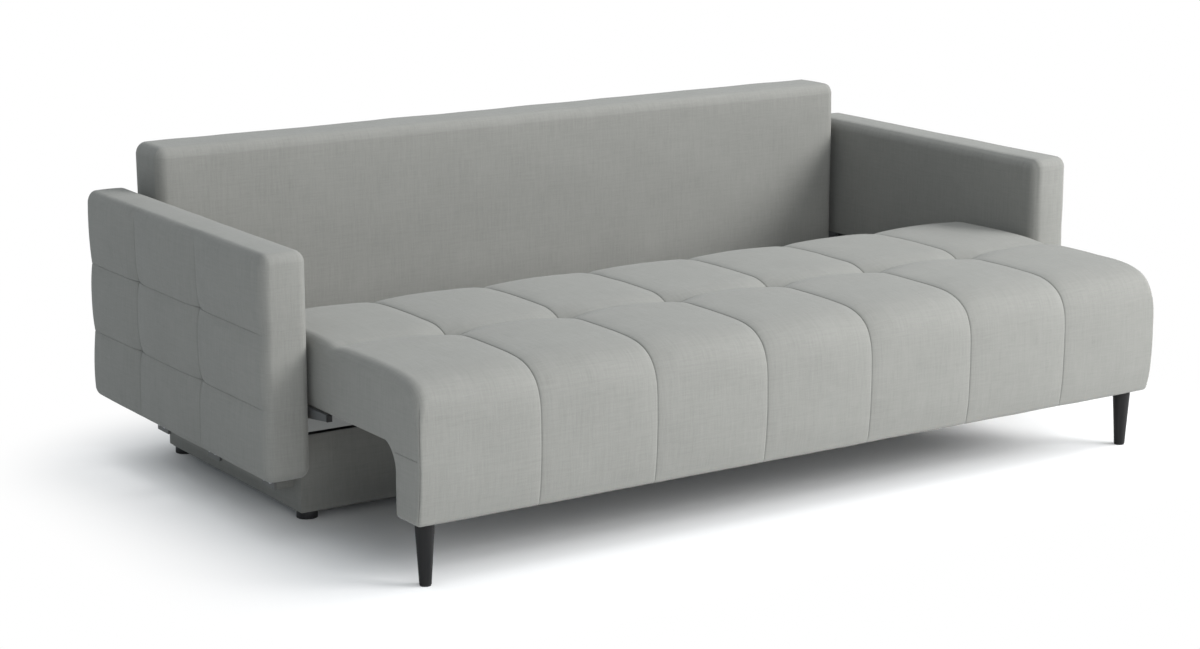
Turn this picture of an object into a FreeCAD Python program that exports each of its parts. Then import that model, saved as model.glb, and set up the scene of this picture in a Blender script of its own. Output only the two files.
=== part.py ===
"""Sofa that turns into a double bed.

Two upholstered arms stand on the sides of a low bedding box. The seat rolls forward on two
telescopic rails and two front legs, and the back slides forward and lies down behind it.
The model is stored as photographed: seat pulled out, back upright.

Frame: +X to the sofa's own left-to-right as seen from the front, +Y to the rear, +Z up,
millimetres, floor at Z = 0, origin at the middle of the footprint.
"""
import FreeCAD, Part
import math
import os

V = FreeCAD.Vector
os.makedirs("parts", exist_ok=True)

# Overall
SOFA_WIDTH = 2300.0
ARM_DEPTH = 930.0
ARM_THICKNESS = 115.0
ARM_BOTTOM = 142.0
ARM_TOP = 645.0

# Seat block
SEAT_SIDE_GAP = 9.0
SEAT_DEPTH = 728.0
SEAT_COLUMNS = 7
SEAT_UNDERSIDE = 297.0
SEAT_TOP = 445.0
SEAT_CROWN = 7.0
SEAT_ROW_DIP = 11.0
SEAT_SIDE_DROP = 17.0
SEAT_SIDE_ROUND = 22.0
SEAT_FRONT_ROUND = 112.0
SEAT_SHOULDER_DROP = 93.0
SEAT_REAR_ROUND = 24.0
APRON_BOTTOM = 140.0
APRON_THICKNESS = 90.0
APRON_BULGE = 10.0
APRON_SKIN = 16.0
APRON_LOW_ROUND = 12.0
APRON_ARCH_RISE = 68.0
APRON_ARCH_RUN = 40.0
OPENING_SETBACK = 49.0
SEAT_SIDE_SKIN = 12.0
SEAT_REAR_SKIN = 12.0
APRON_BOTTOM_SKIN = 12.0
FRAME_BOARD = 18.0
SEAT_RAIL_WIDTH = 44.0
SEAT_RAIL_HEIGHT = 46.0
SEAT_RAIL_LIFT = 4.0
SEAT_FRONT_RAIL_WIDTH = 36.0
CROSS_RAIL_WIDTH = 30.0
CROSS_RAIL_SAG = 7.0
CROSS_RAIL_COUNT = 3
STRAP_WIDTH = 50.0
STRAP_T = 3.0
SEAT_STRAPS_LONG = 11
SEAT_STRAPS_CROSS = 4
DUST_COVER_T = 3.0

# Legs under the seat front
LEG_TOP_DIAMETER = 43.0
LEG_BOTTOM_DIAMETER = 26.0
LEG_INSET = 43.0
LEG_PAD_DIAMETER = 24.0
LEG_PAD_T = 3.0
LEG_STUD_DIAMETER = 10.0
LEG_STUD_LENGTH = 45.0
LEG_BLOCK_WIDTH = 62.0
LEG_BLOCK_HEIGHT = 98.0

# Back
BACK_SIDE_GAP = 17.0
BACK_THICKNESS = 136.0
BACK_TOP = 752.0
BACK_BOTTOM = 120.0
BACK_REAR_INSET = 1.0
BACK_CROWN = 5.0
BACK_EDGE_R = 28.0
BACK_SIDE_ROUND = 20.0
BACK_SIDE_TAPER = 14.0
BACK_SKIN_FRONT = 55.0
BACK_SKIN_EDGE = 24.0
BACK_COVER_T = 5.0
BACK_STILE_WIDTH = 60.0
BACK_RAIL_HEIGHT = 50.0
BACK_STRAPS_UP = 13
BACK_STRAPS_CROSS = 3
BED_GAP = 5.0
PIN_FROM_REAR = 16.0

# Back pivot, its shoe and the slotted guide rail in the arm
PIVOT_Z = 320.0
PIN_DIAMETER = 16.0
BUSH_WALL = 2.5
RUNNING_GAP = 0.05
PIVOT_PLATE_T = 6.0
PIVOT_PLATE_HEIGHT = 160.0
PIVOT_PLATE_WIDTH = 64.0
POCKET_BELOW = 45.0
POCKET_ABOVE = 50.0
STUD_DIAMETER = 10.0
STUD_RADIUS = 25.0
QUADRANT_T = 4.0
QUADRANT_R = 36.0
QUADRANT_HUB_R = 14.0
GUIDE_WALL = 3.0
GUIDE_CHANNEL_HEIGHT = 38.0
GUIDE_CHANNEL_DEPTH = 17.0
GUIDE_FLANGE = 18.0
SHOE_LENGTH = 116.0
SHOE_BEHIND_PIN = 9.0
SHOE_GAP = 0.4

# Arm
ARM_SKIN_INNER = 6.0
ARM_SKIN_FRONT = 20.0
ARM_SKIN_TOP = 23.0
ARM_SKIN_BOTTOM = 8.0
ARM_SKIN_REAR = 5.0
ARM_FOAM_OUTER = 40.0
ARM_OUTER_PANEL_T = 4.0
ARM_POST_WIDTH = 40.0
ARM_RAIL_HEIGHT = 40.0
ARM_EDGE_R = 24.0
ARM_END_ROUND = 20.0
ARM_END_TAPER = 14.0
ARM_PUFF = 9.0
ARM_SEAM_SINK = 9.0
ARM_TUFT_SINK = 15.0
ARM_SEAMS_Y = (340.0, 665.0)
ARM_SEAMS_Z = (305.0, 470.0)
ARM_BARE_TOP = 329.0

# Bedding box
BOX_FRONT = 145.0
BOX_REAR = 841.0
BOX_BOARD = 18.0
BOX_FRONT_TOP = 197.0
BOX_UNDER_BACK = 15.0
BOX_STEP_START = 300.0
BOX_STEP_END = 360.0
BOX_PANEL_T = 8.0
BOX_PANEL_LIFT = 6.0
BOX_DIVIDER_DROP = 5.0
CORNER_BLOCK = 40.0
GLIDE_HEIGHT = 18.0
GLIDE_DIAMETER = 48.0
GLIDE_INSET = 28.0

# Bearers and brackets that carry the arms on the box sides
BEARER_WIDTH = 42.0
BEARER_HEIGHT = 38.0
BEARER_UNDER_BACK = 10.0
BEARER_FRONT = 180.0
BEARER_REAR = 800.0
BRACKET_T = 6.0
BRACKET_WIDTH = 60.0
BRACKET_TOP = 245.0
BRACKET_COUNT = 3
BOLT_DIAMETER = 8.0
BOLT_HEAD_DIAMETER = 14.0
BOLT_HEAD_T = 4.0
BOLT_GAP = 0.2
BOLT_LENGTH = 24.0

# Telescopic rails
RAIL_STEEL = 2.0
RAIL_TOP_STEEL = 2.5
RAIL_TO_SEAT = 1.5
RAIL_TO_BACK = 1.5
MIDDLE_HEIGHT = 28.5
MIDDLE_LENGTH = 600.0
MIDDLE_FRONT = -58.0
MIDDLE_INNER_DEPTH = 12.0
MIDDLE_TIP_HEIGHT = 14.0
MIDDLE_TAPER_LENGTH = 116.0
LIP_START = 82.0
END_CAP_T = 6.0
FIXED_FRONT = 236.0
FIXED_REAR = 812.0
FIXED_HEIGHT = 30.0
FIXED_ROLLER_SETBACK = 22.0
ROLLER_WIDTH = 5.5
ROLLER_SIDE_GAP = 0.5
ROLLER_PLAY = 0.5
AXLE_DIAMETER = 6.0
SEAT_ROLLER_WIDTH = 8.0
SEAT_ROLLER_FROM_REAR = 48.0
ROLLER_BRACKET_T = 4.0
BRACKET_SIDE_GAP = 1.0
ROLLER_BRACKET_LENGTH = 180.0
ROLLER_BRACKET_DROP = 36.0
ROLLER_BRACKET_FLANGE = 30.0
SCREW_DIAMETER = 5.0
SCREW_LENGTH = 16.0
RAIL_SCREWS = 4

# Ledge behind the seat that carries the lowered back and stops the upright one
LEDGE_T = 4.0
LEDGE_REACH = 58.0
LEDGE_LAP = 50.0
LEDGE_DROP = 78.0
LEDGE_END_INSET = 66.0
LEDGE_PAD_WIDTH = 44.0
REST_GAP = 0.3

# Catches that hold the pushed-in seat to the front board of the box
CATCH_X = 600.0
CATCH_T = 4.0
CATCH_OVER_BOARD = 8.0
CATCH_REACH = 55.0
CATCH_WIDTH = 20.0
CATCH_LUG = 14.0
CATCH_LUG_DROP = 29.0
CATCH_PIN_DIAMETER = 8.0
CATCH_BRACKET_T = 3.0
CATCH_BRACKET_WIDTH = 40.0
CATCH_SETBACK = 28.0
CATCH_TAB = 22.0
CATCH_BRACKET_LAP = 38.0
CATCH_HEAD_GAP = 0.5

# Planes that follow from the sizes above
# The seat rolls out just far enough for the lowered back to lie behind it.
BACK_HEIGHT = BACK_TOP - BACK_BOTTOM
SEAT_TRAVEL = SEAT_DEPTH + BED_GAP + BACK_HEIGHT + BACK_REAR_INSET - ARM_DEPTH
ARM_FRONT_Y = (SEAT_TRAVEL + APRON_BULGE - ARM_DEPTH) / 2
ARM_REAR_Y = ARM_FRONT_Y + ARM_DEPTH
ARM_OUT_X = SOFA_WIDTH / 2
ARM_IN_X = ARM_OUT_X - ARM_THICKNESS
PANEL_X = ARM_IN_X + ARM_SKIN_INNER
SEAT_HALF = ARM_IN_X - SEAT_SIDE_GAP
LEDGE_HALF_WIDTH = SEAT_HALF - LEDGE_END_INSET
SEAT_FRONT_Y = ARM_FRONT_Y - SEAT_TRAVEL
SEAT_REAR_Y = SEAT_FRONT_Y + SEAT_DEPTH
BACK_HALF = ARM_IN_X - BACK_SIDE_GAP
BACK_REAR_Y = ARM_REAR_Y - BACK_REAR_INSET
BACK_FRONT_Y = BACK_REAR_Y - BACK_THICKNESS
# Lowered, the back's top edge ends where its rear face stood, which fixes the pins' travel.
PIVOT_Y = BACK_REAR_Y - PIN_FROM_REAR
BACK_SHIFT = PIVOT_Y + (BACK_TOP - PIVOT_Z) - BACK_REAR_Y
FLAT_UNDERSIDE = PIVOT_Z - PIN_FROM_REAR
BOX_HALF_WIDTH = PANEL_X - BRACKET_T - BEARER_WIDTH
BOX_REAR_TOP = BACK_BOTTOM - BOX_UNDER_BACK
BEARER_TOP = BACK_BOTTOM - BEARER_UNDER_BACK


# How a rounded end is stepped: share of its length from the end, share of its full inset
ROUNDING = ((1.0, 0.0), (0.5, 0.19), (0.15, 0.57), (0.0, 1.0))


def at(distance):
    """Y of a plane this far behind the arms' front."""
    return ARM_FRONT_Y + distance


def seat_at(distance):
    """Y of a plane this far behind the seat's front, with the seat pulled out."""
    return SEAT_FRONT_Y + distance


def box(x0, x1, y0, y1, z0, z1):
    return Part.makeBox(x1 - x0, y1 - y0, z1 - z0, V(x0, y0, z0))


def rod(x0, x1, y, z, radius):
    """Cylinder along X."""
    return Part.makeCylinder(radius, x1 - x0, V(x0, y, z), V(1, 0, 0))


def upright(x, y, z0, z1, radius):
    """Cylinder along Z."""
    return Part.makeCylinder(radius, z1 - z0, V(x, y, z0), V(0, 0, 1))


def mirrored(shape):
    return shape.mirror(V(0, 0, 0), V(1, 0, 0))


def both(shape):
    return [shape, mirrored(shape)]


def fused(shapes):
    result = shapes[0]
    for shape in shapes[1:]:
        result = result.fuse(shape)
    return result.removeSplitter()


def save(name, shapes):
    shape = Part.makeCompound(shapes) if isinstance(shapes, list) else shapes
    shape.exportStep("parts/" + name + ".step")
    solids = shape.Solids
    volume = sum(s.Volume for s in solids) / 1e6
    print("%-24s %3d solid(s) %10.3f litre valid %s" % (name, len(solids), volume, shape.isValid()))


def save_pair(name, shape):
    """Right-hand piece as built, and its mirror image on the left."""
    save(name + "_right", shape)
    save(name + "_left", mirrored(shape))


def outline(points):
    """Closed wire. A point (a, b) ends a line, (mid, end) pairs end an arc."""
    edges = []
    here = points[0]
    for item in points[1:]:
        if len(item) == 2 and isinstance(item[0], tuple):
            mid, end = item
            edges.append(Part.Arc(V(*here), V(*mid), V(*end)).toShape())
            here = end
        else:
            edges.append(Part.LineSegment(V(*here), V(*item)).toShape())
            here = item
    return Part.Wire(edges)


def arc_corner(p, q, corner):
    """Middle point of a quarter arc from p to q that rounds the given corner."""
    k = 1 - math.sqrt(0.5)
    return tuple((1 - 2 * k) * corner[i] + k * (p[i] + q[i]) for i in range(3))


# Seat cushion: one quilted cover over the seat frame, falling over the front as an apron
def seat_section(x, lift, swell, side=0.0):
    """Outline of the seat at one X: lift raises the top, swell pushes the front out."""
    top = SEAT_TOP + lift
    front = SEAT_FRONT_Y - swell
    rear = SEAT_REAR_Y - side * 0.3
    mid = SEAT_FRONT_Y + SEAT_DEPTH / 2
    round_depth = SEAT_FRONT_ROUND
    shoulder = SEAT_TOP - SEAT_SHOULDER_DROP
    low_r = APRON_LOW_ROUND
    inner = SEAT_FRONT_Y + APRON_THICKNESS
    arch = APRON_ARCH_RUN
    under = SEAT_UNDERSIDE
    dip = SEAT_TOP - SEAT_ROW_DIP + 0.55 * lift
    rear_r = SEAT_REAR_ROUND
    pts = [(x, rear, under + 8)]
    pts.append((x, rear, top - rear_r))
    pts.append((arc_corner(pts[-1], (x, rear - rear_r, top - 3), (x, rear, top - 3)), (x, rear - rear_r, top - 3)))
    pts.append(((x, (rear + mid) / 2 - 4, top + 6), (x, mid, dip)))
    pts.append(((x, (mid + SEAT_FRONT_Y + round_depth) / 2, top + 3), (x, SEAT_FRONT_Y + round_depth, top - 1)))
    pts.append(((x, front + 0.27 * round_depth, top - 24), (x, front + 2, shoulder)))
    pts.append(((x, front, (shoulder + APRON_BOTTOM) / 2), (x, SEAT_FRONT_Y, APRON_BOTTOM + low_r)))
    pts.append((arc_corner((x, SEAT_FRONT_Y, APRON_BOTTOM + low_r), (x, SEAT_FRONT_Y + low_r, APRON_BOTTOM),
                           (x, SEAT_FRONT_Y, APRON_BOTTOM)), (x, SEAT_FRONT_Y + low_r, APRON_BOTTOM)))
    pts.append((x, inner - low_r, APRON_BOTTOM))
    pts.append((arc_corner((x, inner - low_r, APRON_BOTTOM), (x, inner, APRON_BOTTOM + low_r),
                           (x, inner, APRON_BOTTOM)), (x, inner, APRON_BOTTOM + low_r)))
    pts.append((x, inner, under - APRON_ARCH_RISE))
    pts.append((arc_corner((x, inner, under - APRON_ARCH_RISE), (x, inner + arch, under), (x, inner + 2, under - 2)),
                (x, inner + arch, under)))
    pts.append((x, rear - 8, under))
    pts.append((arc_corner((x, rear - 8, under), (x, rear, under + 8), (x, rear, under)), (x, rear, under + 8)))
    return outline(pts)


def seat_cover():
    pitch = 2 * SEAT_HALF / SEAT_COLUMNS
    edge = SEAT_SIDE_ROUND
    swell_seam = APRON_BULGE - 3.0
    columns = []
    for k in range(SEAT_COLUMNS):
        x0 = -SEAT_HALF + pitch * k
        x1 = x0 + pitch
        first, last = k == 0, k == SEAT_COLUMNS - 1
        if first:
            x0 += edge
        if last:
            x1 -= edge
        ends = [1.5 if first else 0.0, 1.5 if last else 0.0]
        columns.append(Part.makeLoft([seat_section(x0, ends[0], swell_seam),
                                      seat_section((x0 + x1) / 2, SEAT_CROWN, APRON_BULGE),
                                      seat_section(x1, ends[1], swell_seam)], True, False))
    for side in (-1, 1):
        steps = [(SEAT_HALF - edge, 1.5, swell_seam), (SEAT_HALF - 0.55 * edge, -2.0, swell_seam - 1),
                 (SEAT_HALF - 0.2 * edge, -8.0, swell_seam - 4), (SEAT_HALF, -SEAT_SIDE_DROP, swell_seam - 10)]
        columns.append(Part.makeLoft([seat_section(side * x, lift, swell) for x, lift, swell in steps], True, True))
    return fused(columns)


FRAME_BOTTOM = SEAT_UNDERSIDE + SEAT_RAIL_LIFT
FRAME_TOP = FRAME_BOTTOM + SEAT_RAIL_HEIGHT
FOAM_BOTTOM = FRAME_TOP + 2 * STRAP_T
FRAME_HALF = SEAT_HALF - SEAT_SIDE_SKIN
APRON_FRONT_BOARD_Y = seat_at(APRON_SKIN)
APRON_REAR_BOARD_Y = seat_at(APRON_THICKNESS - APRON_SKIN)
FRAME_REAR_Y = SEAT_REAR_Y - SEAT_REAR_SKIN
BOARD_BOTTOM = APRON_BOTTOM + APRON_BOTTOM_SKIN
OPEN_START_Y = seat_at(APRON_THICKNESS + OPENING_SETBACK)
LEG_X = SEAT_HALF - LEG_INSET
LEG_Y = (APRON_FRONT_BOARD_Y + APRON_REAR_BOARD_Y) / 2

seat = seat_cover()
seat = seat.cut(box(-FRAME_HALF, FRAME_HALF, APRON_FRONT_BOARD_Y, FRAME_REAR_Y, FRAME_BOTTOM, FOAM_BOTTOM))
seat = seat.cut(box(-FRAME_HALF, FRAME_HALF, APRON_FRONT_BOARD_Y, APRON_REAR_BOARD_Y, BOARD_BOTTOM, FOAM_BOTTOM))
seat = seat.cut(box(-FRAME_HALF, FRAME_HALF, OPEN_START_Y, FRAME_REAR_Y, SEAT_UNDERSIDE - 1, FOAM_BOTTOM))
for side in (-1, 1):
    seat = seat.cut(upright(side * LEG_X, LEG_Y, APRON_BOTTOM - 1, BOARD_BOTTOM + 1, LEG_STUD_DIAMETER / 2 + 1))
save("seat_cushion", seat)

save("apron_front_board", box(-FRAME_HALF, FRAME_HALF, APRON_FRONT_BOARD_Y, APRON_FRONT_BOARD_Y + FRAME_BOARD,
                              BOARD_BOTTOM, FRAME_TOP))
save("apron_rear_board", box(-FRAME_HALF, FRAME_HALF, APRON_REAR_BOARD_Y - FRAME_BOARD, APRON_REAR_BOARD_Y,
                             BOARD_BOTTOM, FRAME_TOP))
leg_block = box(FRAME_HALF - LEG_BLOCK_WIDTH, FRAME_HALF, APRON_FRONT_BOARD_Y + FRAME_BOARD,
                APRON_REAR_BOARD_Y - FRAME_BOARD, BOARD_BOTTOM, BOARD_BOTTOM + LEG_BLOCK_HEIGHT)
leg_block = leg_block.cut(upright(LEG_X, LEG_Y, BOARD_BOTTOM - 1, APRON_BOTTOM + LEG_STUD_LENGTH + 1,
                                  LEG_STUD_DIAMETER / 2 + RUNNING_GAP))
save("leg_blocks", both(leg_block))

leg = Part.makeCone(LEG_BOTTOM_DIAMETER / 2, LEG_TOP_DIAMETER / 2, APRON_BOTTOM - LEG_PAD_T,
                    V(LEG_X, LEG_Y, LEG_PAD_T), V(0, 0, 1))
leg = fused([leg, upright(LEG_X, LEG_Y, APRON_BOTTOM - 5, APRON_BOTTOM + LEG_STUD_LENGTH, LEG_STUD_DIAMETER / 2)])
save_pair("leg", leg)
save("leg_pads", both(upright(LEG_X, LEG_Y, 0, LEG_PAD_T, LEG_PAD_DIAMETER / 2)))

# Seat frame inside the cover
SIDE_RAIL_IN = FRAME_HALF - SEAT_RAIL_WIDTH
FRONT_RAIL_Y = OPEN_START_Y + CATCH_BRACKET_T + 1.0
save("seat_side_rails", both(box(SIDE_RAIL_IN, FRAME_HALF, APRON_REAR_BOARD_Y, FRAME_REAR_Y, FRAME_BOTTOM, FRAME_TOP)))
save("seat_rear_rail", box(-SIDE_RAIL_IN, SIDE_RAIL_IN, FRAME_REAR_Y - SEAT_RAIL_WIDTH, FRAME_REAR_Y,
                           SEAT_UNDERSIDE, FRAME_TOP))
save("seat_front_rail", box(-SIDE_RAIL_IN, SIDE_RAIL_IN, FRONT_RAIL_Y, FRONT_RAIL_Y + SEAT_FRONT_RAIL_WIDTH,
                            FRAME_BOTTOM, FRAME_TOP))
cross_rails = []
for k in range(CROSS_RAIL_COUNT):
    x = SIDE_RAIL_IN * (2 * (k + 1) / (CROSS_RAIL_COUNT + 1) - 1)
    cross_rails.append(box(x - CROSS_RAIL_WIDTH / 2, x + CROSS_RAIL_WIDTH / 2, FRONT_RAIL_Y + SEAT_FRONT_RAIL_WIDTH,
                           FRAME_REAR_Y - SEAT_RAIL_WIDTH, FRAME_BOTTOM, FRAME_TOP - CROSS_RAIL_SAG))
save("seat_cross_rails", cross_rails)

straps = []
for k in range(SEAT_STRAPS_CROSS):
    span = FRAME_REAR_Y - SEAT_RAIL_WIDTH - APRON_REAR_BOARD_Y
    y = APRON_REAR_BOARD_Y + span * (k + 0.5) / SEAT_STRAPS_CROSS
    straps.append(box(-FRAME_HALF, FRAME_HALF, y - STRAP_WIDTH / 2, y + STRAP_WIDTH / 2, FRAME_TOP, FRAME_TOP + STRAP_T))
for k in range(SEAT_STRAPS_LONG):
    x = SIDE_RAIL_IN * (2 * (k + 0.5) / SEAT_STRAPS_LONG - 1)
    straps.append(box(x - STRAP_WIDTH / 2, x + STRAP_WIDTH / 2, APRON_FRONT_BOARD_Y, FRAME_REAR_Y,
                      FRAME_TOP + STRAP_T, FOAM_BOTTOM))
save("seat_webbing", straps)
save("seat_dust_cover", box(-SIDE_RAIL_IN, SIDE_RAIL_IN, FRONT_RAIL_Y + SEAT_FRONT_RAIL_WIDTH / 2,
                            FRAME_REAR_Y - SEAT_RAIL_WIDTH, FRAME_BOTTOM - DUST_COVER_T, FRAME_BOTTOM))

# Ledge: steel angle under the rear rail with a rubber strip
LEDGE_END_Y = SEAT_REAR_Y + LEDGE_REACH
ledge = fused([box(-LEDGE_HALF_WIDTH, LEDGE_HALF_WIDTH, SEAT_REAR_Y - LEDGE_LAP, LEDGE_END_Y,
                   SEAT_UNDERSIDE - LEDGE_T, SEAT_UNDERSIDE),
               box(-LEDGE_HALF_WIDTH, LEDGE_HALF_WIDTH, LEDGE_END_Y - LEDGE_T, LEDGE_END_Y,
                   SEAT_UNDERSIDE - LEDGE_T - LEDGE_DROP, SEAT_UNDERSIDE)])
save("seat_rear_ledge", ledge)
save("ledge_pad", box(-LEDGE_HALF_WIDTH, LEDGE_HALF_WIDTH, LEDGE_END_Y - LEDGE_T - LEDGE_PAD_WIDTH,
                      LEDGE_END_Y - LEDGE_T, SEAT_UNDERSIDE, FLAT_UNDERSIDE - REST_GAP))

# Telescopic rails. Across each side, from the seat outwards: seat bracket, seat roller in the
# middle rail, middle rail's web, outer rollers, fixed rail on the arm's inner panel.
RAIL_TOP = SEAT_UNDERSIDE - RAIL_TO_SEAT
MIDDLE_BOTTOM = RAIL_TOP - MIDDLE_HEIGHT
MIDDLE_IN_X = BACK_HALF + RAIL_TO_BACK
MIDDLE_OUT_X = MIDDLE_IN_X + MIDDLE_INNER_DEPTH
FIXED_WEB_X = PANEL_X - RAIL_STEEL
MIDDLE_Y0 = at(MIDDLE_FRONT)
MIDDLE_Y1 = MIDDLE_Y0 + MIDDLE_LENGTH
LIP_BOTTOM = RAIL_TOP - RAIL_TOP_STEEL
FIXED_Y0 = at(FIXED_FRONT)
FIXED_Y1 = at(FIXED_REAR)
ROLLER_R = (MIDDLE_HEIGHT - ROLLER_PLAY) / 2
ROLLER_Z = LIP_BOTTOM - ROLLER_PLAY - ROLLER_R
FIXED_BOTTOM = ROLLER_Z - ROLLER_R - ROLLER_PLAY - RAIL_STEEL
FIXED_ROLLER_Y = FIXED_Y0 + FIXED_ROLLER_SETBACK
MIDDLE_ROLLER_Y = MIDDLE_Y1 - FIXED_ROLLER_SETBACK
ROLLER_X0 = (MIDDLE_OUT_X + FIXED_WEB_X - ROLLER_WIDTH) / 2
ROLLER_X1 = ROLLER_X0 + ROLLER_WIDTH
LIP_OUT_X = FIXED_WEB_X - ROLLER_SIDE_GAP
AXLE_R = AXLE_DIAMETER / 2

middle = fused([box(MIDDLE_OUT_X - RAIL_STEEL, MIDDLE_OUT_X, MIDDLE_Y0, MIDDLE_Y1, MIDDLE_BOTTOM, RAIL_TOP),
                box(MIDDLE_IN_X, MIDDLE_OUT_X, MIDDLE_Y0, MIDDLE_Y1, LIP_BOTTOM, RAIL_TOP),
                box(MIDDLE_OUT_X, LIP_OUT_X, MIDDLE_Y0 + LIP_START, MIDDLE_Y1, LIP_BOTTOM, RAIL_TOP),
                box(MIDDLE_IN_X, MIDDLE_OUT_X, MIDDLE_Y0 + MIDDLE_TAPER_LENGTH, MIDDLE_Y1,
                    MIDDLE_BOTTOM, MIDDLE_BOTTOM + RAIL_STEEL),
                rod(MIDDLE_OUT_X - 1, ROLLER_X1, MIDDLE_ROLLER_Y, ROLLER_Z, AXLE_R)])
taper = Part.Face(Part.makePolygon([V(0, MIDDLE_Y0 - 1, MIDDLE_BOTTOM - 1),
                                    V(0, MIDDLE_Y0 + MIDDLE_TAPER_LENGTH, MIDDLE_BOTTOM - 1),
                                    V(0, MIDDLE_Y0 + MIDDLE_TAPER_LENGTH, MIDDLE_BOTTOM),
                                    V(0, MIDDLE_Y0, RAIL_TOP - MIDDLE_TIP_HEIGHT),
                                    V(0, MIDDLE_Y0 - 1, RAIL_TOP - MIDDLE_TIP_HEIGHT),
                                    V(0, MIDDLE_Y0 - 1, MIDDLE_BOTTOM - 1)]))
taper.translate(V(MIDDLE_IN_X - 1, 0, 0))
middle = middle.cut(taper.extrude(V(MIDDLE_INNER_DEPTH + 3, 0, 0)))
save_pair("middle_rail", middle)
cap = box(MIDDLE_IN_X, MIDDLE_OUT_X, MIDDLE_Y0 - END_CAP_T, MIDDLE_Y0, RAIL_TOP - MIDDLE_TIP_HEIGHT, RAIL_TOP)
save_pair("rail_end_cap", cap)

fixed = fused([box(FIXED_WEB_X, PANEL_X, FIXED_Y0, FIXED_Y1, FIXED_BOTTOM, FIXED_BOTTOM + FIXED_HEIGHT),
               box(ROLLER_X0 - ROLLER_SIDE_GAP, PANEL_X, FIXED_Y0, FIXED_Y1, FIXED_BOTTOM, FIXED_BOTTOM + RAIL_STEEL),
               rod(ROLLER_X0, FIXED_WEB_X + 1, FIXED_ROLLER_Y, ROLLER_Z, AXLE_R)])
rail_screw_y = [FIXED_Y0 + (FIXED_Y1 - FIXED_Y0) * (k + 0.5) / RAIL_SCREWS for k in range(RAIL_SCREWS)]
for y in rail_screw_y:
    fixed = fixed.cut(rod(FIXED_WEB_X - 1, PANEL_X + 1, y, ROLLER_Z, SCREW_DIAMETER / 2 + BOLT_GAP))
save_pair("fixed_rail", fixed)


def roller(x0, x1, y, radius):
    wheel = rod(x0, x1, y, ROLLER_Z if radius == ROLLER_R else SEAT_ROLLER_Z, radius)
    bore = rod(x0 - 1, x1 + 1, y, ROLLER_Z if radius == ROLLER_R else SEAT_ROLLER_Z, AXLE_R + RUNNING_GAP)
    return wheel.cut(bore)


SEAT_ROLLER_R = (LIP_BOTTOM - MIDDLE_BOTTOM - RAIL_STEEL - 2 * ROLLER_PLAY) / 2
SEAT_ROLLER_Z = MIDDLE_BOTTOM + RAIL_STEEL + ROLLER_PLAY + SEAT_ROLLER_R
SEAT_ROLLER_Y = SEAT_REAR_Y - SEAT_ROLLER_FROM_REAR
SEAT_ROLLER_X1 = MIDDLE_OUT_X - RAIL_STEEL - ROLLER_SIDE_GAP
SEAT_ROLLER_X0 = SEAT_ROLLER_X1 - SEAT_ROLLER_WIDTH
save_pair("fixed_roller", roller(ROLLER_X0, ROLLER_X1, FIXED_ROLLER_Y, ROLLER_R))
save_pair("middle_roller", roller(ROLLER_X0, ROLLER_X1, MIDDLE_ROLLER_Y, ROLLER_R))
save_pair("seat_roller", roller(SEAT_ROLLER_X0, SEAT_ROLLER_X1, SEAT_ROLLER_Y, SEAT_ROLLER_R))

BRACKET_WEB_X1 = FRAME_HALF - BRACKET_SIDE_GAP
BRACKET_WEB_X0 = BRACKET_WEB_X1 - ROLLER_BRACKET_T
BRACKET_Y1 = SEAT_REAR_Y - 20.0
BRACKET_Y0 = BRACKET_Y1 - ROLLER_BRACKET_LENGTH
roller_bracket = fused([box(BRACKET_WEB_X0, BRACKET_WEB_X1, BRACKET_Y0, BRACKET_Y1,
                            FRAME_BOTTOM - ROLLER_BRACKET_DROP, FRAME_BOTTOM),
                        box(BRACKET_WEB_X1 - ROLLER_BRACKET_FLANGE, BRACKET_WEB_X1, BRACKET_Y0, BRACKET_Y1,
                            FRAME_BOTTOM - ROLLER_BRACKET_T, FRAME_BOTTOM),
                        rod(BRACKET_WEB_X1 - 1, SEAT_ROLLER_X0 - ROLLER_SIDE_GAP, SEAT_ROLLER_Y, SEAT_ROLLER_Z,
                            AXLE_R + 2),
                        rod(BRACKET_WEB_X1 - 1, SEAT_ROLLER_X1, SEAT_ROLLER_Y, SEAT_ROLLER_Z, AXLE_R)])
save("roller_brackets", both(roller_bracket))

# Catches under the front of the seat frame
CATCH_Y = seat_at(APRON_THICKNESS + CATCH_SETBACK)
ARM_OF_CATCH_Z = BOX_FRONT_TOP + CATCH_OVER_BOARD
TAB_Z = ARM_OF_CATCH_Z + CATCH_T + 1.0
PLATE_Y0 = FRONT_RAIL_Y - CATCH_BRACKET_T
catch_bracket = fused([box(CATCH_X - CATCH_BRACKET_WIDTH / 2, CATCH_X + CATCH_BRACKET_WIDTH / 2, PLATE_Y0,
                           FRONT_RAIL_Y, TAB_Z, FRAME_BOTTOM + CATCH_BRACKET_LAP),
                       box(CATCH_X - CATCH_BRACKET_WIDTH / 2, CATCH_X + CATCH_BRACKET_WIDTH / 2,
                           CATCH_Y - CATCH_TAB / 2, FRONT_RAIL_Y, TAB_Z, TAB_Z + CATCH_BRACKET_T)])
catch_bracket = catch_bracket.cut(upright(CATCH_X, CATCH_Y, TAB_Z - 1, TAB_Z + CATCH_BRACKET_T + 1,
                                          CATCH_PIN_DIAMETER / 2 + RUNNING_GAP))
save("catch_brackets", both(catch_bracket))
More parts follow.
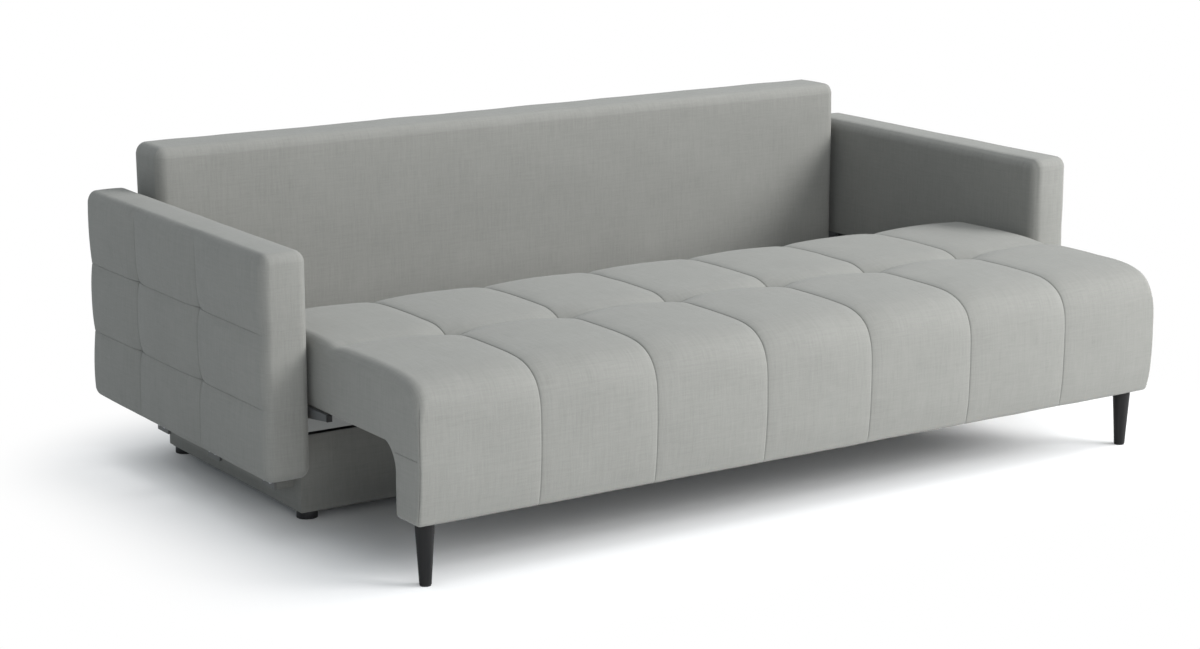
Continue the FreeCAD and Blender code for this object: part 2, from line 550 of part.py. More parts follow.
pin_top = TAB_Z + CATCH_BRACKET_T + CATCH_HEAD_GAP
catch = fused([box(CATCH_X - CATCH_WIDTH / 2, CATCH_X + CATCH_REACH + CATCH_LUG / 2, CATCH_Y - CATCH_LUG / 2,
                   CATCH_Y + CATCH_LUG / 2, ARM_OF_CATCH_Z, ARM_OF_CATCH_Z + CATCH_T),
               box(CATCH_X + CATCH_REACH - CATCH_LUG / 2, CATCH_X + CATCH_REACH + CATCH_LUG / 2,
                   CATCH_Y - CATCH_LUG / 2, CATCH_Y + CATCH_LUG / 2, ARM_OF_CATCH_Z + CATCH_T - CATCH_LUG_DROP,
                   ARM_OF_CATCH_Z + CATCH_T),
               upright(CATCH_X, CATCH_Y, ARM_OF_CATCH_Z, pin_top + 3, CATCH_PIN_DIAMETER / 2),
               upright(CATCH_X, CATCH_Y, pin_top, pin_top + 3, CATCH_PIN_DIAMETER * 0.8)])
save_pair("seat_catch", catch)


# Arm pad: plain inner, front and rear faces, outer face quilted three by three
def arm_section(y, crown, inset):
    """Outline of the right arm at one Y; crown 1 between seams, 0 on one; inset rounds the ends."""
    out = ARM_OUT_X - inset
    inner = ARM_IN_X + inset
    low = ARM_BOTTOM + inset
    top = ARM_TOP - inset
    r = ARM_EDGE_R
    seam = out - ARM_TUFT_SINK + crown * (ARM_TUFT_SINK - ARM_SEAM_SINK)
    puff = out - ARM_PUFF * (1 - crown)
    z1, z2 = ARM_SEAMS_Z
    pts = [(inner, y, low + r / 2)]
    pts.append((inner, y, top - r))
    pts.append((arc_corner(pts[-1], (inner + r, y, top), (inner, y, top)), (inner + r, y, top)))
    pts.append((out - ARM_SEAM_SINK - r, y, top))
    pts.append((arc_corner((out - ARM_SEAM_SINK - r, y, top), (out - ARM_SEAM_SINK, y, top - r),
                           (out - ARM_SEAM_SINK, y, top)), (out - ARM_SEAM_SINK, y, top - r)))
    pts.append(((puff, y, (top - r + z2) / 2), (seam, y, z2)))
    pts.append(((puff, y, (z1 + z2) / 2), (seam, y, z1)))
    pts.append(((puff, y, (z1 + low + r) / 2), (out - ARM_SEAM_SINK, y, low + r)))
    pts.append((arc_corner((out - ARM_SEAM_SINK, y, low + r), (out - ARM_SEAM_SINK - r, y, low),
                           (out - ARM_SEAM_SINK, y, low)), (out - ARM_SEAM_SINK - r, y, low)))
    pts.append((inner + r / 2, y, low))
    pts.append((arc_corner((inner + r / 2, y, low), (inner, y, low + r / 2), (inner, y, low)),
                (inner, y, low + r / 2)))
    return outline(pts)


def arm_cover():
    round_off = ARM_END_ROUND
    y0, y1 = ARM_FRONT_Y, ARM_REAR_Y
    stops = [y0 + round_off] + [at(s) for s in ARM_SEAMS_Y] + [y1 - round_off]
    pieces = []
    for k in range(len(stops) - 1):
        first, last = k == 0, k == len(stops) - 2
        pieces.append(Part.makeLoft([arm_section(stops[k], 0.5 if first else 0.0, 0.0),
                                     arm_section((stops[k] + stops[k + 1]) / 2, 1.0, 0.0),
                                     arm_section(stops[k + 1], 0.5 if last else 0.0, 0.0)], True, False))
    for end, way in ((y0, 1), (y1, -1)):
        steps = [(end + way * a * round_off, b * ARM_END_TAPER) for a, b in ROUNDING]
        if way < 0:
            steps.reverse()
        pieces.append(Part.makeLoft([arm_section(y, 0.5, inset) for y, inset in steps], True, True))
    return fused(pieces)


ARM_FRAME_FRONT = ARM_FRONT_Y + ARM_SKIN_FRONT
ARM_FRAME_REAR = ARM_REAR_Y - ARM_SKIN_REAR
ARM_FRAME_LOW = ARM_BOTTOM + ARM_SKIN_BOTTOM
ARM_FRAME_HIGH = ARM_TOP - ARM_SKIN_TOP
ARM_FRAME_OUT = ARM_OUT_X - ARM_FOAM_OUTER
GUIDE_BACK_X = PANEL_X + GUIDE_WALL + GUIDE_CHANNEL_DEPTH
arm = arm_cover()
arm = arm.cut(box(PANEL_X, ARM_FRAME_OUT, ARM_FRAME_FRONT, ARM_FRAME_REAR, ARM_FRAME_LOW, ARM_FRAME_HIGH))
arm = arm.cut(box(ARM_IN_X - 1, PANEL_X + 1, ARM_FRAME_FRONT, ARM_FRAME_REAR, ARM_BOTTOM - 1, ARM_BARE_TOP))
save_pair("arm_pad", arm)

GUIDE_HALF = GUIDE_CHANNEL_HEIGHT / 2 + GUIDE_WALL
GUIDE_Y1 = ARM_FRAME_REAR
SHOE_REAR = PIVOT_Y + SHOE_BEHIND_PIN
SHOE_FRONT = SHOE_REAR - SHOE_LENGTH
GUIDE_Y0 = SHOE_FRONT - BACK_SHIFT - 3.0 - GUIDE_WALL
panel = box(PANEL_X, GUIDE_BACK_X, ARM_FRAME_FRONT, ARM_FRAME_REAR, ARM_FRAME_LOW, ARM_FRAME_HIGH)
panel = panel.cut(box(PANEL_X - 1, GUIDE_BACK_X + 1, GUIDE_Y0, GUIDE_Y1 + 1, PIVOT_Z - GUIDE_HALF, PIVOT_Z + GUIDE_HALF))
for y in rail_screw_y:
    panel = panel.cut(rod(PANEL_X - 1, FIXED_WEB_X + SCREW_LENGTH + 1, y, ROLLER_Z, SCREW_DIAMETER / 2 + BOLT_GAP))

bracket_y = [at(BEARER_FRONT + BRACKET_WIDTH / 2 + (BEARER_REAR - BEARER_FRONT - BRACKET_WIDTH) * k
                / (BRACKET_COUNT - 1)) for k in range(BRACKET_COUNT)]
BEARER_OUT = BOX_HALF_WIDTH + BEARER_WIDTH
BEARER_LOW = BEARER_TOP - BEARER_HEIGHT
BOLT_Z_LOW = (BEARER_LOW + BEARER_TOP) / 2
BOLT_Z_HIGH = (ARM_FRAME_LOW + BRACKET_TOP) / 2
bolt_r = BOLT_DIAMETER / 2
brackets = []
bolts = []
bearer = box(BOX_HALF_WIDTH, BEARER_OUT, at(BEARER_FRONT), at(BEARER_REAR), BEARER_LOW, BEARER_TOP)
for y in bracket_y:
    plate = box(BEARER_OUT, PANEL_X, y - BRACKET_WIDTH / 2, y + BRACKET_WIDTH / 2, BEARER_LOW, BRACKET_TOP)
    for dy in (-BRACKET_WIDTH / 4, BRACKET_WIDTH / 4):
        plate = plate.cut(rod(BEARER_OUT - 1, PANEL_X + 1, y + dy, BOLT_Z_HIGH, bolt_r + BOLT_GAP))
        plate = plate.cut(rod(BEARER_OUT - 1, PANEL_X + 1, y + dy, BOLT_Z_LOW, bolt_r + BOLT_GAP))
        panel = panel.cut(rod(PANEL_X - 1, PANEL_X + BOLT_LENGTH - BRACKET_T, y + dy, BOLT_Z_HIGH, bolt_r + BOLT_GAP))
        bearer = bearer.cut(rod(PANEL_X - BOLT_LENGTH, PANEL_X, y + dy, BOLT_Z_LOW, bolt_r + BOLT_GAP))
        bolts.append(fused([rod(BEARER_OUT - BOLT_HEAD_T, BEARER_OUT, y + dy, BOLT_Z_HIGH, BOLT_HEAD_DIAMETER / 2),
                            rod(BEARER_OUT - 1, BEARER_OUT + BOLT_LENGTH - 1, y + dy, BOLT_Z_HIGH, bolt_r)]))
        bolts.append(fused([rod(PANEL_X, PANEL_X + BOLT_HEAD_T, y + dy, BOLT_Z_LOW, BOLT_HEAD_DIAMETER / 2),
                            rod(PANEL_X - BOLT_LENGTH + 1, PANEL_X + 1, y + dy, BOLT_Z_LOW, bolt_r)]))
    brackets.append(plate)
save_pair("arm_inner_panel", panel)
save_pair("arm_bearer", bearer)
save("arm_brackets", brackets + [mirrored(b) for b in brackets])
save("bracket_bolts", bolts + [mirrored(b) for b in bolts])

# Arm frame: posts, rails and studs behind the seams, closed by a thin outer panel
PANEL_OUT = ARM_FRAME_OUT - ARM_OUTER_PANEL_T
sticks = [box(GUIDE_BACK_X, PANEL_OUT, ARM_FRAME_FRONT, ARM_FRAME_FRONT + ARM_POST_WIDTH, ARM_FRAME_LOW, ARM_FRAME_HIGH),
          box(GUIDE_BACK_X, PANEL_OUT, ARM_FRAME_REAR - ARM_POST_WIDTH, ARM_FRAME_REAR, ARM_FRAME_LOW, ARM_FRAME_HIGH)]
rail_y0 = ARM_FRAME_FRONT + ARM_POST_WIDTH
rail_y1 = ARM_FRAME_REAR - ARM_POST_WIDTH
sticks.append(box(GUIDE_BACK_X, PANEL_OUT, rail_y0, rail_y1, ARM_FRAME_LOW, ARM_FRAME_LOW + ARM_RAIL_HEIGHT))
sticks.append(box(GUIDE_BACK_X, PANEL_OUT, rail_y0, rail_y1, ARM_FRAME_HIGH - ARM_RAIL_HEIGHT, ARM_FRAME_HIGH))
for s in ARM_SEAMS_Y:
    sticks.append(box(GUIDE_BACK_X, PANEL_OUT, at(s) - ARM_POST_WIDTH / 2, at(s) + ARM_POST_WIDTH / 2,
                      ARM_FRAME_LOW + ARM_RAIL_HEIGHT, ARM_FRAME_HIGH - ARM_RAIL_HEIGHT))
notch = box(GUIDE_BACK_X - 1, GUIDE_BACK_X + GUIDE_WALL + 3, GUIDE_Y0 - 2, GUIDE_Y1 + 2,
            PIVOT_Z - GUIDE_HALF - GUIDE_FLANGE - 1, PIVOT_Z + GUIDE_HALF + GUIDE_FLANGE + 1)
sticks = [s.cut(notch) for s in sticks]
sticks.append(box(PANEL_OUT, ARM_FRAME_OUT, ARM_FRAME_FRONT, ARM_FRAME_REAR, ARM_FRAME_LOW, ARM_FRAME_HIGH))
save("arm_frame_right", sticks)
save("arm_frame_left", [mirrored(s) for s in sticks])

# Guide rail: slotted channel in the inner panel, with flanges screwed on from behind
hc = GUIDE_CHANNEL_HEIGHT / 2
slot = PIN_DIAMETER / 2 + 0.5
guide = fused([box(PANEL_X, GUIDE_BACK_X + GUIDE_WALL, GUIDE_Y0, GUIDE_Y1, PIVOT_Z - GUIDE_HALF, PIVOT_Z + GUIDE_HALF),
               box(GUIDE_BACK_X, GUIDE_BACK_X + GUIDE_WALL, GUIDE_Y0, GUIDE_Y1,
                   PIVOT_Z - GUIDE_HALF - GUIDE_FLANGE, PIVOT_Z + GUIDE_HALF + GUIDE_FLANGE)])
guide = guide.cut(box(PANEL_X + GUIDE_WALL, GUIDE_BACK_X, GUIDE_Y0 + GUIDE_WALL, GUIDE_Y1 - GUIDE_WALL,
                      PIVOT_Z - hc, PIVOT_Z + hc))
guide = guide.cut(box(PANEL_X - 1, PANEL_X + GUIDE_WALL + 1, PIVOT_Y - BACK_SHIFT - slot, GUIDE_Y1 + 1,
                      PIVOT_Z - slot, PIVOT_Z + slot))
screws = []
for k in range(RAIL_SCREWS):
    y = GUIDE_Y0 + (GUIDE_Y1 - GUIDE_Y0) * (k + 0.35) / RAIL_SCREWS
    for z in (PIVOT_Z - GUIDE_HALF - GUIDE_FLANGE / 2, PIVOT_Z + GUIDE_HALF + GUIDE_FLANGE / 2):
        guide = guide.cut(rod(GUIDE_BACK_X - 1, GUIDE_BACK_X + GUIDE_WALL + 1, y, z, SCREW_DIAMETER / 2 + BOLT_GAP))
        screws.append((y, z))
save_pair("back_guide", guide)
rail_screws = [rod(FIXED_WEB_X, FIXED_WEB_X + SCREW_LENGTH, y, ROLLER_Z, SCREW_DIAMETER / 2) for y in rail_screw_y]
save("rail_screws", rail_screws + [mirrored(s) for s in rail_screws])

# Shoe, pin and quadrant: one welded piece each side that slides in the guide
pin_r = PIN_DIAMETER / 2
PIN_IN_X = BACK_HALF - BACK_SKIN_EDGE - BACK_STILE_WIDTH / 2
QUAD_X1 = ARM_IN_X - 1.0
QUAD_X0 = QUAD_X1 - QUADRANT_T
shoe = fused([box(PANEL_X + GUIDE_WALL + SHOE_GAP, GUIDE_BACK_X - SHOE_GAP, SHOE_FRONT, SHOE_REAR,
                  PIVOT_Z - hc + SHOE_GAP, PIVOT_Z + hc - SHOE_GAP),
              rod(PIN_IN_X, GUIDE_BACK_X - 2, PIVOT_Y, PIVOT_Z, pin_r)])
quad = fused([rod(QUAD_X0, QUAD_X1, PIVOT_Y, PIVOT_Z, QUADRANT_R).common(
    box(QUAD_X0 - 1, QUAD_X1 + 1, PIVOT_Y - QUADRANT_R - 1, ARM_FRAME_REAR - 2, PIVOT_Z - STUD_DIAMETER,
        PIVOT_Z + QUADRANT_R + 1)),
              rod(QUAD_X0, QUAD_X1, PIVOT_Y, PIVOT_Z, QUADRANT_HUB_R).common(
    box(QUAD_X0 - 1, QUAD_X1 + 1, PIVOT_Y - QUADRANT_R, ARM_FRAME_REAR - 2, PIVOT_Z - QUADRANT_HUB_R,
        PIVOT_Z + QUADRANT_R))])
track = rod(QUAD_X0 - 1, QUAD_X1 + 1, PIVOT_Y, PIVOT_Z, STUD_RADIUS + STUD_DIAMETER / 2 + 0.3)
track = track.cut(rod(QUAD_X0 - 2, QUAD_X1 + 2, PIVOT_Y, PIVOT_Z, STUD_RADIUS - STUD_DIAMETER / 2 - 0.3))
track = track.common(box(QUAD_X0 - 2, QUAD_X1 + 2, PIVOT_Y - 2 * QUADRANT_R, PIVOT_Y, PIVOT_Z, PIVOT_Z + 2 * QUADRANT_R))
ends = [rod(QUAD_X0 - 1, QUAD_X1 + 1, PIVOT_Y - STUD_RADIUS, PIVOT_Z, STUD_DIAMETER / 2 + 0.3),
        rod(QUAD_X0 - 1, QUAD_X1 + 1, PIVOT_Y, PIVOT_Z + STUD_RADIUS, STUD_DIAMETER / 2 + 0.3)]
quad = quad.cut(track).cut(ends[0]).cut(ends[1])
save("back_carriages", both(fused([shoe, quad])))


# Back: one long upholstered board on a timber frame
def back_section(x, inset):
    front = BACK_FRONT_Y + inset
    rear = BACK_REAR_Y - inset
    low = BACK_BOTTOM + inset
    top = BACK_TOP - inset
    r = BACK_EDGE_R
    flat = front + BACK_CROWN
    pts = [(x, flat, low + r)]
    pts.append(((x, front, (low + top) / 2), (x, flat, top - r)))
    pts.append((arc_corner((x, flat, top - r), (x, flat + r, top), (x, flat, top)), (x, flat + r, top)))
    pts.append((x, rear - r, top))
    pts.append((arc_corner((x, rear - r, top), (x, rear, top - r), (x, rear, top)), (x, rear, top - r)))
    pts.append((x, rear, low + r / 2))
    pts.append((arc_corner((x, rear, low + r / 2), (x, rear - r / 2, low), (x, rear, low)), (x, rear - r / 2, low)))
    pts.append((x, flat + r, low))
    pts.append((arc_corner((x, flat + r, low), (x, flat, low + r), (x, flat, low)), (x, flat, low + r)))
    return outline(pts)


back_flat = BACK_HALF - BACK_SIDE_ROUND
back_parts = [Part.makeLoft([back_section(-back_flat, 0), back_section(back_flat, 0)], True, True)]
for side in (-1, 1):
    steps = [(BACK_HALF - a * BACK_SIDE_ROUND, b * BACK_SIDE_TAPER) for a, b in ROUNDING]
    back_parts.append(Part.makeLoft([back_section(side * x, inset) for x, inset in steps], True, True))
back_pad = fused(back_parts)
CORE_HALF = BACK_HALF - BACK_SKIN_EDGE
CORE_FRONT = BACK_FRONT_Y + BACK_SKIN_FRONT
CORE_LOW = BACK_BOTTOM + BACK_SKIN_EDGE
CORE_HIGH = BACK_TOP - BACK_SKIN_EDGE
CORE_REAR = BACK_REAR_Y - BACK_COVER_T
back_pad = back_pad.cut(box(-CORE_HALF, CORE_HALF, CORE_FRONT, BACK_REAR_Y + 1, CORE_LOW, CORE_HIGH))
for side in (-1, 1):
    x0, x1 = sorted((side * (CORE_HALF - 1), side * (BACK_HALF + 1)))
    back_pad = back_pad.cut(box(x0, x1, PIVOT_Y - STUD_RADIUS - STUD_DIAMETER, BACK_REAR_Y + 1,
                                PIVOT_Z - POCKET_BELOW, PIVOT_Z + POCKET_ABOVE))
save("back_pad", back_pad)
PLATE_IN = CORE_HALF - PIVOT_PLATE_T
rails = [box(-PLATE_IN, PLATE_IN, CORE_FRONT + 2 * STRAP_T, CORE_REAR, CORE_LOW, CORE_LOW + BACK_RAIL_HEIGHT),
         box(-PLATE_IN, PLATE_IN, CORE_FRONT + 2 * STRAP_T, CORE_REAR, CORE_HIGH - BACK_RAIL_HEIGHT, CORE_HIGH)]
save("back_rails", rails)
stiles = []
bush_r = pin_r + RUNNING_GAP + BUSH_WALL
for x in (-1.0, -1 / 3, 1 / 3, 1.0):
    c = x * (PLATE_IN - BACK_STILE_WIDTH / 2)
    stile = box(c - BACK_STILE_WIDTH / 2, c + BACK_STILE_WIDTH / 2, CORE_FRONT + 2 * STRAP_T, CORE_REAR,
                CORE_LOW + BACK_RAIL_HEIGHT, CORE_HIGH - BACK_RAIL_HEIGHT)
    if abs(x) == 1.0:
        stile = stile.cut(rod(c - BACK_STILE_WIDTH, c + BACK_STILE_WIDTH, PIVOT_Y, PIVOT_Z, bush_r))
    stiles.append(stile)
save("back_stiles", stiles)
plate_y0 = BACK_REAR_Y - BACK_COVER_T - PIVOT_PLATE_WIDTH
plate = box(PLATE_IN, CORE_HALF, plate_y0, CORE_REAR, PIVOT_Z - PIVOT_PLATE_HEIGHT / 2, PIVOT_Z + PIVOT_PLATE_HEIGHT / 2)
plate = plate.cut(rod(PLATE_IN - 1, CORE_HALF + 1, PIVOT_Y, PIVOT_Z, bush_r))
plate = fused([plate, rod(CORE_HALF - 1, QUAD_X1, PIVOT_Y - STUD_RADIUS, PIVOT_Z, STUD_DIAMETER / 2)])
save("back_pivot_plates", both(plate))
bush = rod(PIN_IN_X, CORE_HALF, PIVOT_Y, PIVOT_Z, bush_r).cut(
    rod(PIN_IN_X - 1, CORE_HALF + 1, PIVOT_Y, PIVOT_Z, pin_r + RUNNING_GAP))
save("pivot_bushes", both(bush))
straps = []
for k in range(BACK_STRAPS_CROSS):
    z = CORE_LOW + (CORE_HIGH - CORE_LOW) * (k + 1) / (BACK_STRAPS_CROSS + 1)
    straps.append(box(-PLATE_IN, PLATE_IN, CORE_FRONT + STRAP_T, CORE_FRONT + 2 * STRAP_T, z - STRAP_WIDTH / 2,
                      z + STRAP_WIDTH / 2))
for k in range(BACK_STRAPS_UP):
    x = PLATE_IN * (2 * (k + 0.5) / BACK_STRAPS_UP - 1)
    straps.append(box(x - STRAP_WIDTH / 2, x + STRAP_WIDTH / 2, CORE_FRONT, CORE_FRONT + STRAP_T, CORE_LOW, CORE_HIGH))
save("back_webbing", straps)
save("back_rear_cover", box(-CORE_HALF, CORE_HALF, CORE_REAR, BACK_REAR_Y, CORE_LOW, CORE_HIGH))

# Bedding box
box_in = BOX_HALF_WIDTH - BOX_BOARD
y_in0 = at(BOX_FRONT + BOX_BOARD)
y_in1 = at(BOX_REAR - BOX_BOARD)
save("box_front_board", box(-BOX_HALF_WIDTH, BOX_HALF_WIDTH, at(BOX_FRONT), y_in0, GLIDE_HEIGHT, BOX_FRONT_TOP))
save("box_rear_board", box(-BOX_HALF_WIDTH, BOX_HALF_WIDTH, y_in1, at(BOX_REAR), GLIDE_HEIGHT, BOX_REAR_TOP))
side_face = Part.Face(Part.makePolygon([V(box_in, y_in0, GLIDE_HEIGHT), V(box_in, y_in1, GLIDE_HEIGHT),
                                        V(box_in, y_in1, BOX_REAR_TOP), V(box_in, at(BOX_STEP_END), BOX_REAR_TOP),
                                        V(box_in, at(BOX_STEP_START), BOX_FRONT_TOP),
                                        V(box_in, y_in0, BOX_FRONT_TOP), V(box_in, y_in0, GLIDE_HEIGHT)]))
save_pair("box_side_board", side_face.extrude(V(BOX_BOARD, 0, 0)))
panel_z = GLIDE_HEIGHT + BOX_PANEL_LIFT
save("box_bottom_panel", box(-box_in, box_in, y_in0, y_in1, panel_z, panel_z + BOX_PANEL_T))
floor_z = panel_z + BOX_PANEL_T
save("box_divider", box(-BOX_BOARD / 2, BOX_BOARD / 2, y_in0, y_in1, floor_z, BOX_REAR_TOP - BOX_DIVIDER_DROP))
blocks = []
for y0 in (y_in0, y_in1 - CORNER_BLOCK):
    blocks += both(box(box_in - CORNER_BLOCK, box_in, y0, y0 + CORNER_BLOCK, floor_z, BOX_REAR_TOP))
save("box_corner_blocks", blocks)
glides = []
for y in (at(BOX_FRONT + GLIDE_INSET), at(BOX_REAR - GLIDE_INSET)):
    glides += both(upright(BOX_HALF_WIDTH - GLIDE_INSET, y, 0, GLIDE_HEIGHT, GLIDE_DIAMETER / 2))
    glides.append(upright(0, y, 0, GLIDE_HEIGHT, GLIDE_DIAMETER / 2))
save("base_glides", glides)

print("back shift", BACK_SHIFT, "flat underside", FLAT_UNDERSIDE, "pivot", PIVOT_Y, PIVOT_Z)
print("roller radii", ROLLER_R, SEAT_ROLLER_R)
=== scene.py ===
"""Looks of the pull-out sofa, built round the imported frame."""
import math

import bpy
import bmesh
import numpy as np
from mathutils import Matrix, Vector, noise
from mathutils.geometry import delaunay_2d_cdt


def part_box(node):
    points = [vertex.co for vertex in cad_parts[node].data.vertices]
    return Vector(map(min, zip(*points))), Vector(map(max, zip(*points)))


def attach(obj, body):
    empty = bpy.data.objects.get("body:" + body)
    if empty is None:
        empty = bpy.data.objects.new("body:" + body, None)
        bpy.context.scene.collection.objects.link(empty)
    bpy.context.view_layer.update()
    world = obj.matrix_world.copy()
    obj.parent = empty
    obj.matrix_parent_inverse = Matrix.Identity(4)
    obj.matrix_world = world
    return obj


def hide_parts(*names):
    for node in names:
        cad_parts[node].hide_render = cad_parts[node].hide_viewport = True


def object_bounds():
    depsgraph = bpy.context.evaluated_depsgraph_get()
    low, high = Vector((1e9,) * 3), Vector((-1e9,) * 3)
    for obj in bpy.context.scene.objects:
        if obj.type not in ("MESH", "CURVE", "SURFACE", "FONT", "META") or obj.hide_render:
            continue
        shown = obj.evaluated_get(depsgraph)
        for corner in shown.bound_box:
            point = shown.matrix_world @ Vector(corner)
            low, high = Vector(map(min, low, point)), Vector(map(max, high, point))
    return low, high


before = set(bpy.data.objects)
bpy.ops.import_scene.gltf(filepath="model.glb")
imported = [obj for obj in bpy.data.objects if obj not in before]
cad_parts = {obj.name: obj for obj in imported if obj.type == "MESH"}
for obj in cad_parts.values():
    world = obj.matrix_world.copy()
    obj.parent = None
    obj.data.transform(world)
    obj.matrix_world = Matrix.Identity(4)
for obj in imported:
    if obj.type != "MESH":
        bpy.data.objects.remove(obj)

cad_lo, cad_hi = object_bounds()
scene = bpy.context.scene
scene.view_settings.view_transform = "Standard"

# ------------------------------------------------------------------ sizes, metres
PAD_LO, PAD_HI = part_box("seat_cushion")
SEAT_HALF = PAD_HI.x
SEAT_FRONT = PAD_LO.y + 0.010           # plane from which the seat's outline is measured
SEAT_REAR = PAD_HI.y
COLUMNS = 7
PITCH = 2 * SEAT_HALF / COLUMNS
ROW = 0.364                             # row of tufts, behind the seat's front
ARM_LO, ARM_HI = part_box("arm_pad_right")
ARM_IN, ARM_OUT = ARM_LO.x, ARM_HI.x
BACK_LO, BACK_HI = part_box("back_pad")
BOARD_LO, BOARD_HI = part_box("box_front_board")

THREAD = 0.0015                         # pitch of the weave
STITCH = 0.0075                         # pitch of the stitches on the seat's seams
WELD = 0.00002                          # points closer than this are one


# ------------------------------------------------------------------ materials
def node_tree(name):
    mat = bpy.data.materials.new(name)
    mat.use_nodes = True
    nt = mat.node_tree
    nt.nodes.clear()
    out = nt.nodes.new("ShaderNodeOutputMaterial")
    shader = nt.nodes.new("ShaderNodeBsdfPrincipled")
    nt.links.new(shader.outputs[0], out.inputs[0])
    return mat, nt, shader


def math_node(nt, op, a, b=None, clamp=False):
    n = nt.nodes.new("ShaderNodeMath")
    n.operation = op
    n.use_clamp = clamp
    for i, v in enumerate((a, b)):
        if v is None:
            continue
        if isinstance(v, (int, float)):
            n.inputs[i].default_value = v
        else:
            nt.links.new(v, n.inputs[i])
    return n.outputs[0]


def weighted(nt, *parts):
    """Sum of values, each given with its weight."""
    total = None
    for value, weight in parts:
        term = math_node(nt, "MULTIPLY", value, weight)
        total = term if total is None else math_node(nt, "ADD", total, term)
    return total


def noise_node(nt, vector, scale, detail=3.0, rough=0.55):
    n = nt.nodes.new("ShaderNodeTexNoise")
    n.inputs["Scale"].default_value = scale
    n.inputs["Detail"].default_value = detail
    n.inputs["Roughness"].default_value = rough
    nt.links.new(vector, n.inputs["Vector"])
    return n.outputs["Fac"]


def stretched(nt, vector, sx, sy, sz=1.0):
    n = nt.nodes.new("ShaderNodeMapping")
    n.inputs["Scale"].default_value = (sx, sy, sz)
    nt.links.new(vector, n.inputs["Vector"])
    return n.outputs[0]


def tinted(colour, factor):
    return [min(1.0, k * factor) for k in colour]


def ramp(nt, value, stops):
    n = nt.nodes.new("ShaderNodeValToRGB")
    cr = n.color_ramp
    while len(cr.elements) < len(stops):
        cr.elements.new(0.5)
    for e, (p, c) in zip(cr.elements, stops):
        e.position = p
        e.color = (c[0], c[1], c[2], 1.0)
    nt.links.new(value, n.inputs[0])
    return n.outputs[0]


def bump(nt, shader, height, strength, distance):
    n = nt.nodes.new("ShaderNodeBump")
    n.inputs["Strength"].default_value = strength
    n.inputs["Distance"].default_value = distance
    nt.links.new(height, n.inputs["Height"])
    nt.links.new(n.outputs[0], shader.inputs["Normal"])


def flat_coordinates(nt):
    """Plane coordinates of a board in metres, picked by the way each face looks."""
    tc = nt.nodes.new("ShaderNodeTexCoord")
    pos = nt.nodes.new("ShaderNodeSeparateXYZ")
    nrm = nt.nodes.new("ShaderNodeSeparateXYZ")
    nt.links.new(tc.outputs["Object"], pos.inputs[0])
    nt.links.new(tc.outputs["Normal"], nrm.inputs[0])
    both = nt.nodes.new("ShaderNodeCombineXYZ")
    # x gives way to y on the ends, and z gives way to y on the top
    for i, (facing, usual) in enumerate(((0, 0), (2, 2))):
        faces_it = math_node(nt, "GREATER_THAN", math_node(nt, "ABSOLUTE", nrm.outputs[facing]), 0.7)
        pick = nt.nodes.new("ShaderNodeMix")
        nt.links.new(faces_it, pick.inputs["Factor"])
        nt.links.new(pos.outputs[usual], pick.inputs["A"])
        nt.links.new(pos.outputs[1], pick.inputs["B"])
        nt.links.new(pick.outputs[0], both.inputs[i])
    return both.outputs[0]


def seam_lines(nt, x, along):
    """1 on the seams between the seat's columns, fading to each side, with the rhythm of the stitches. It
    sinks the bump and darkens the colour as painted shade of the seams' grooves.
    """
    fade, clear_of_side = 0.0018, 0.05
    column = math_node(nt, "DIVIDE", math_node(nt, "ADD", x, SEAT_HALF), PITCH)
    apart = math_node(nt, "MULTIPLY", math_node(nt, "PINGPONG", column, 0.5), PITCH)
    line = math_node(nt, "SUBTRACT", 1.0, math_node(nt, "DIVIDE", apart, fade), clamp=True)
    inner = math_node(nt, "LESS_THAN", math_node(nt, "ABSOLUTE", x), SEAT_HALF - clear_of_side)
    stitch = math_node(nt, "SINE", math_node(nt, "MULTIPLY", along, 2 * math.pi / STITCH))
    stitch = math_node(nt, "ADD", math_node(nt, "MULTIPLY", stitch, 0.35), 0.65)
    return math_node(nt, "MULTIPLY", math_node(nt, "MULTIPLY", line, inner), stitch)


LINEN = (0.2096, 0.2087, 0.1938)


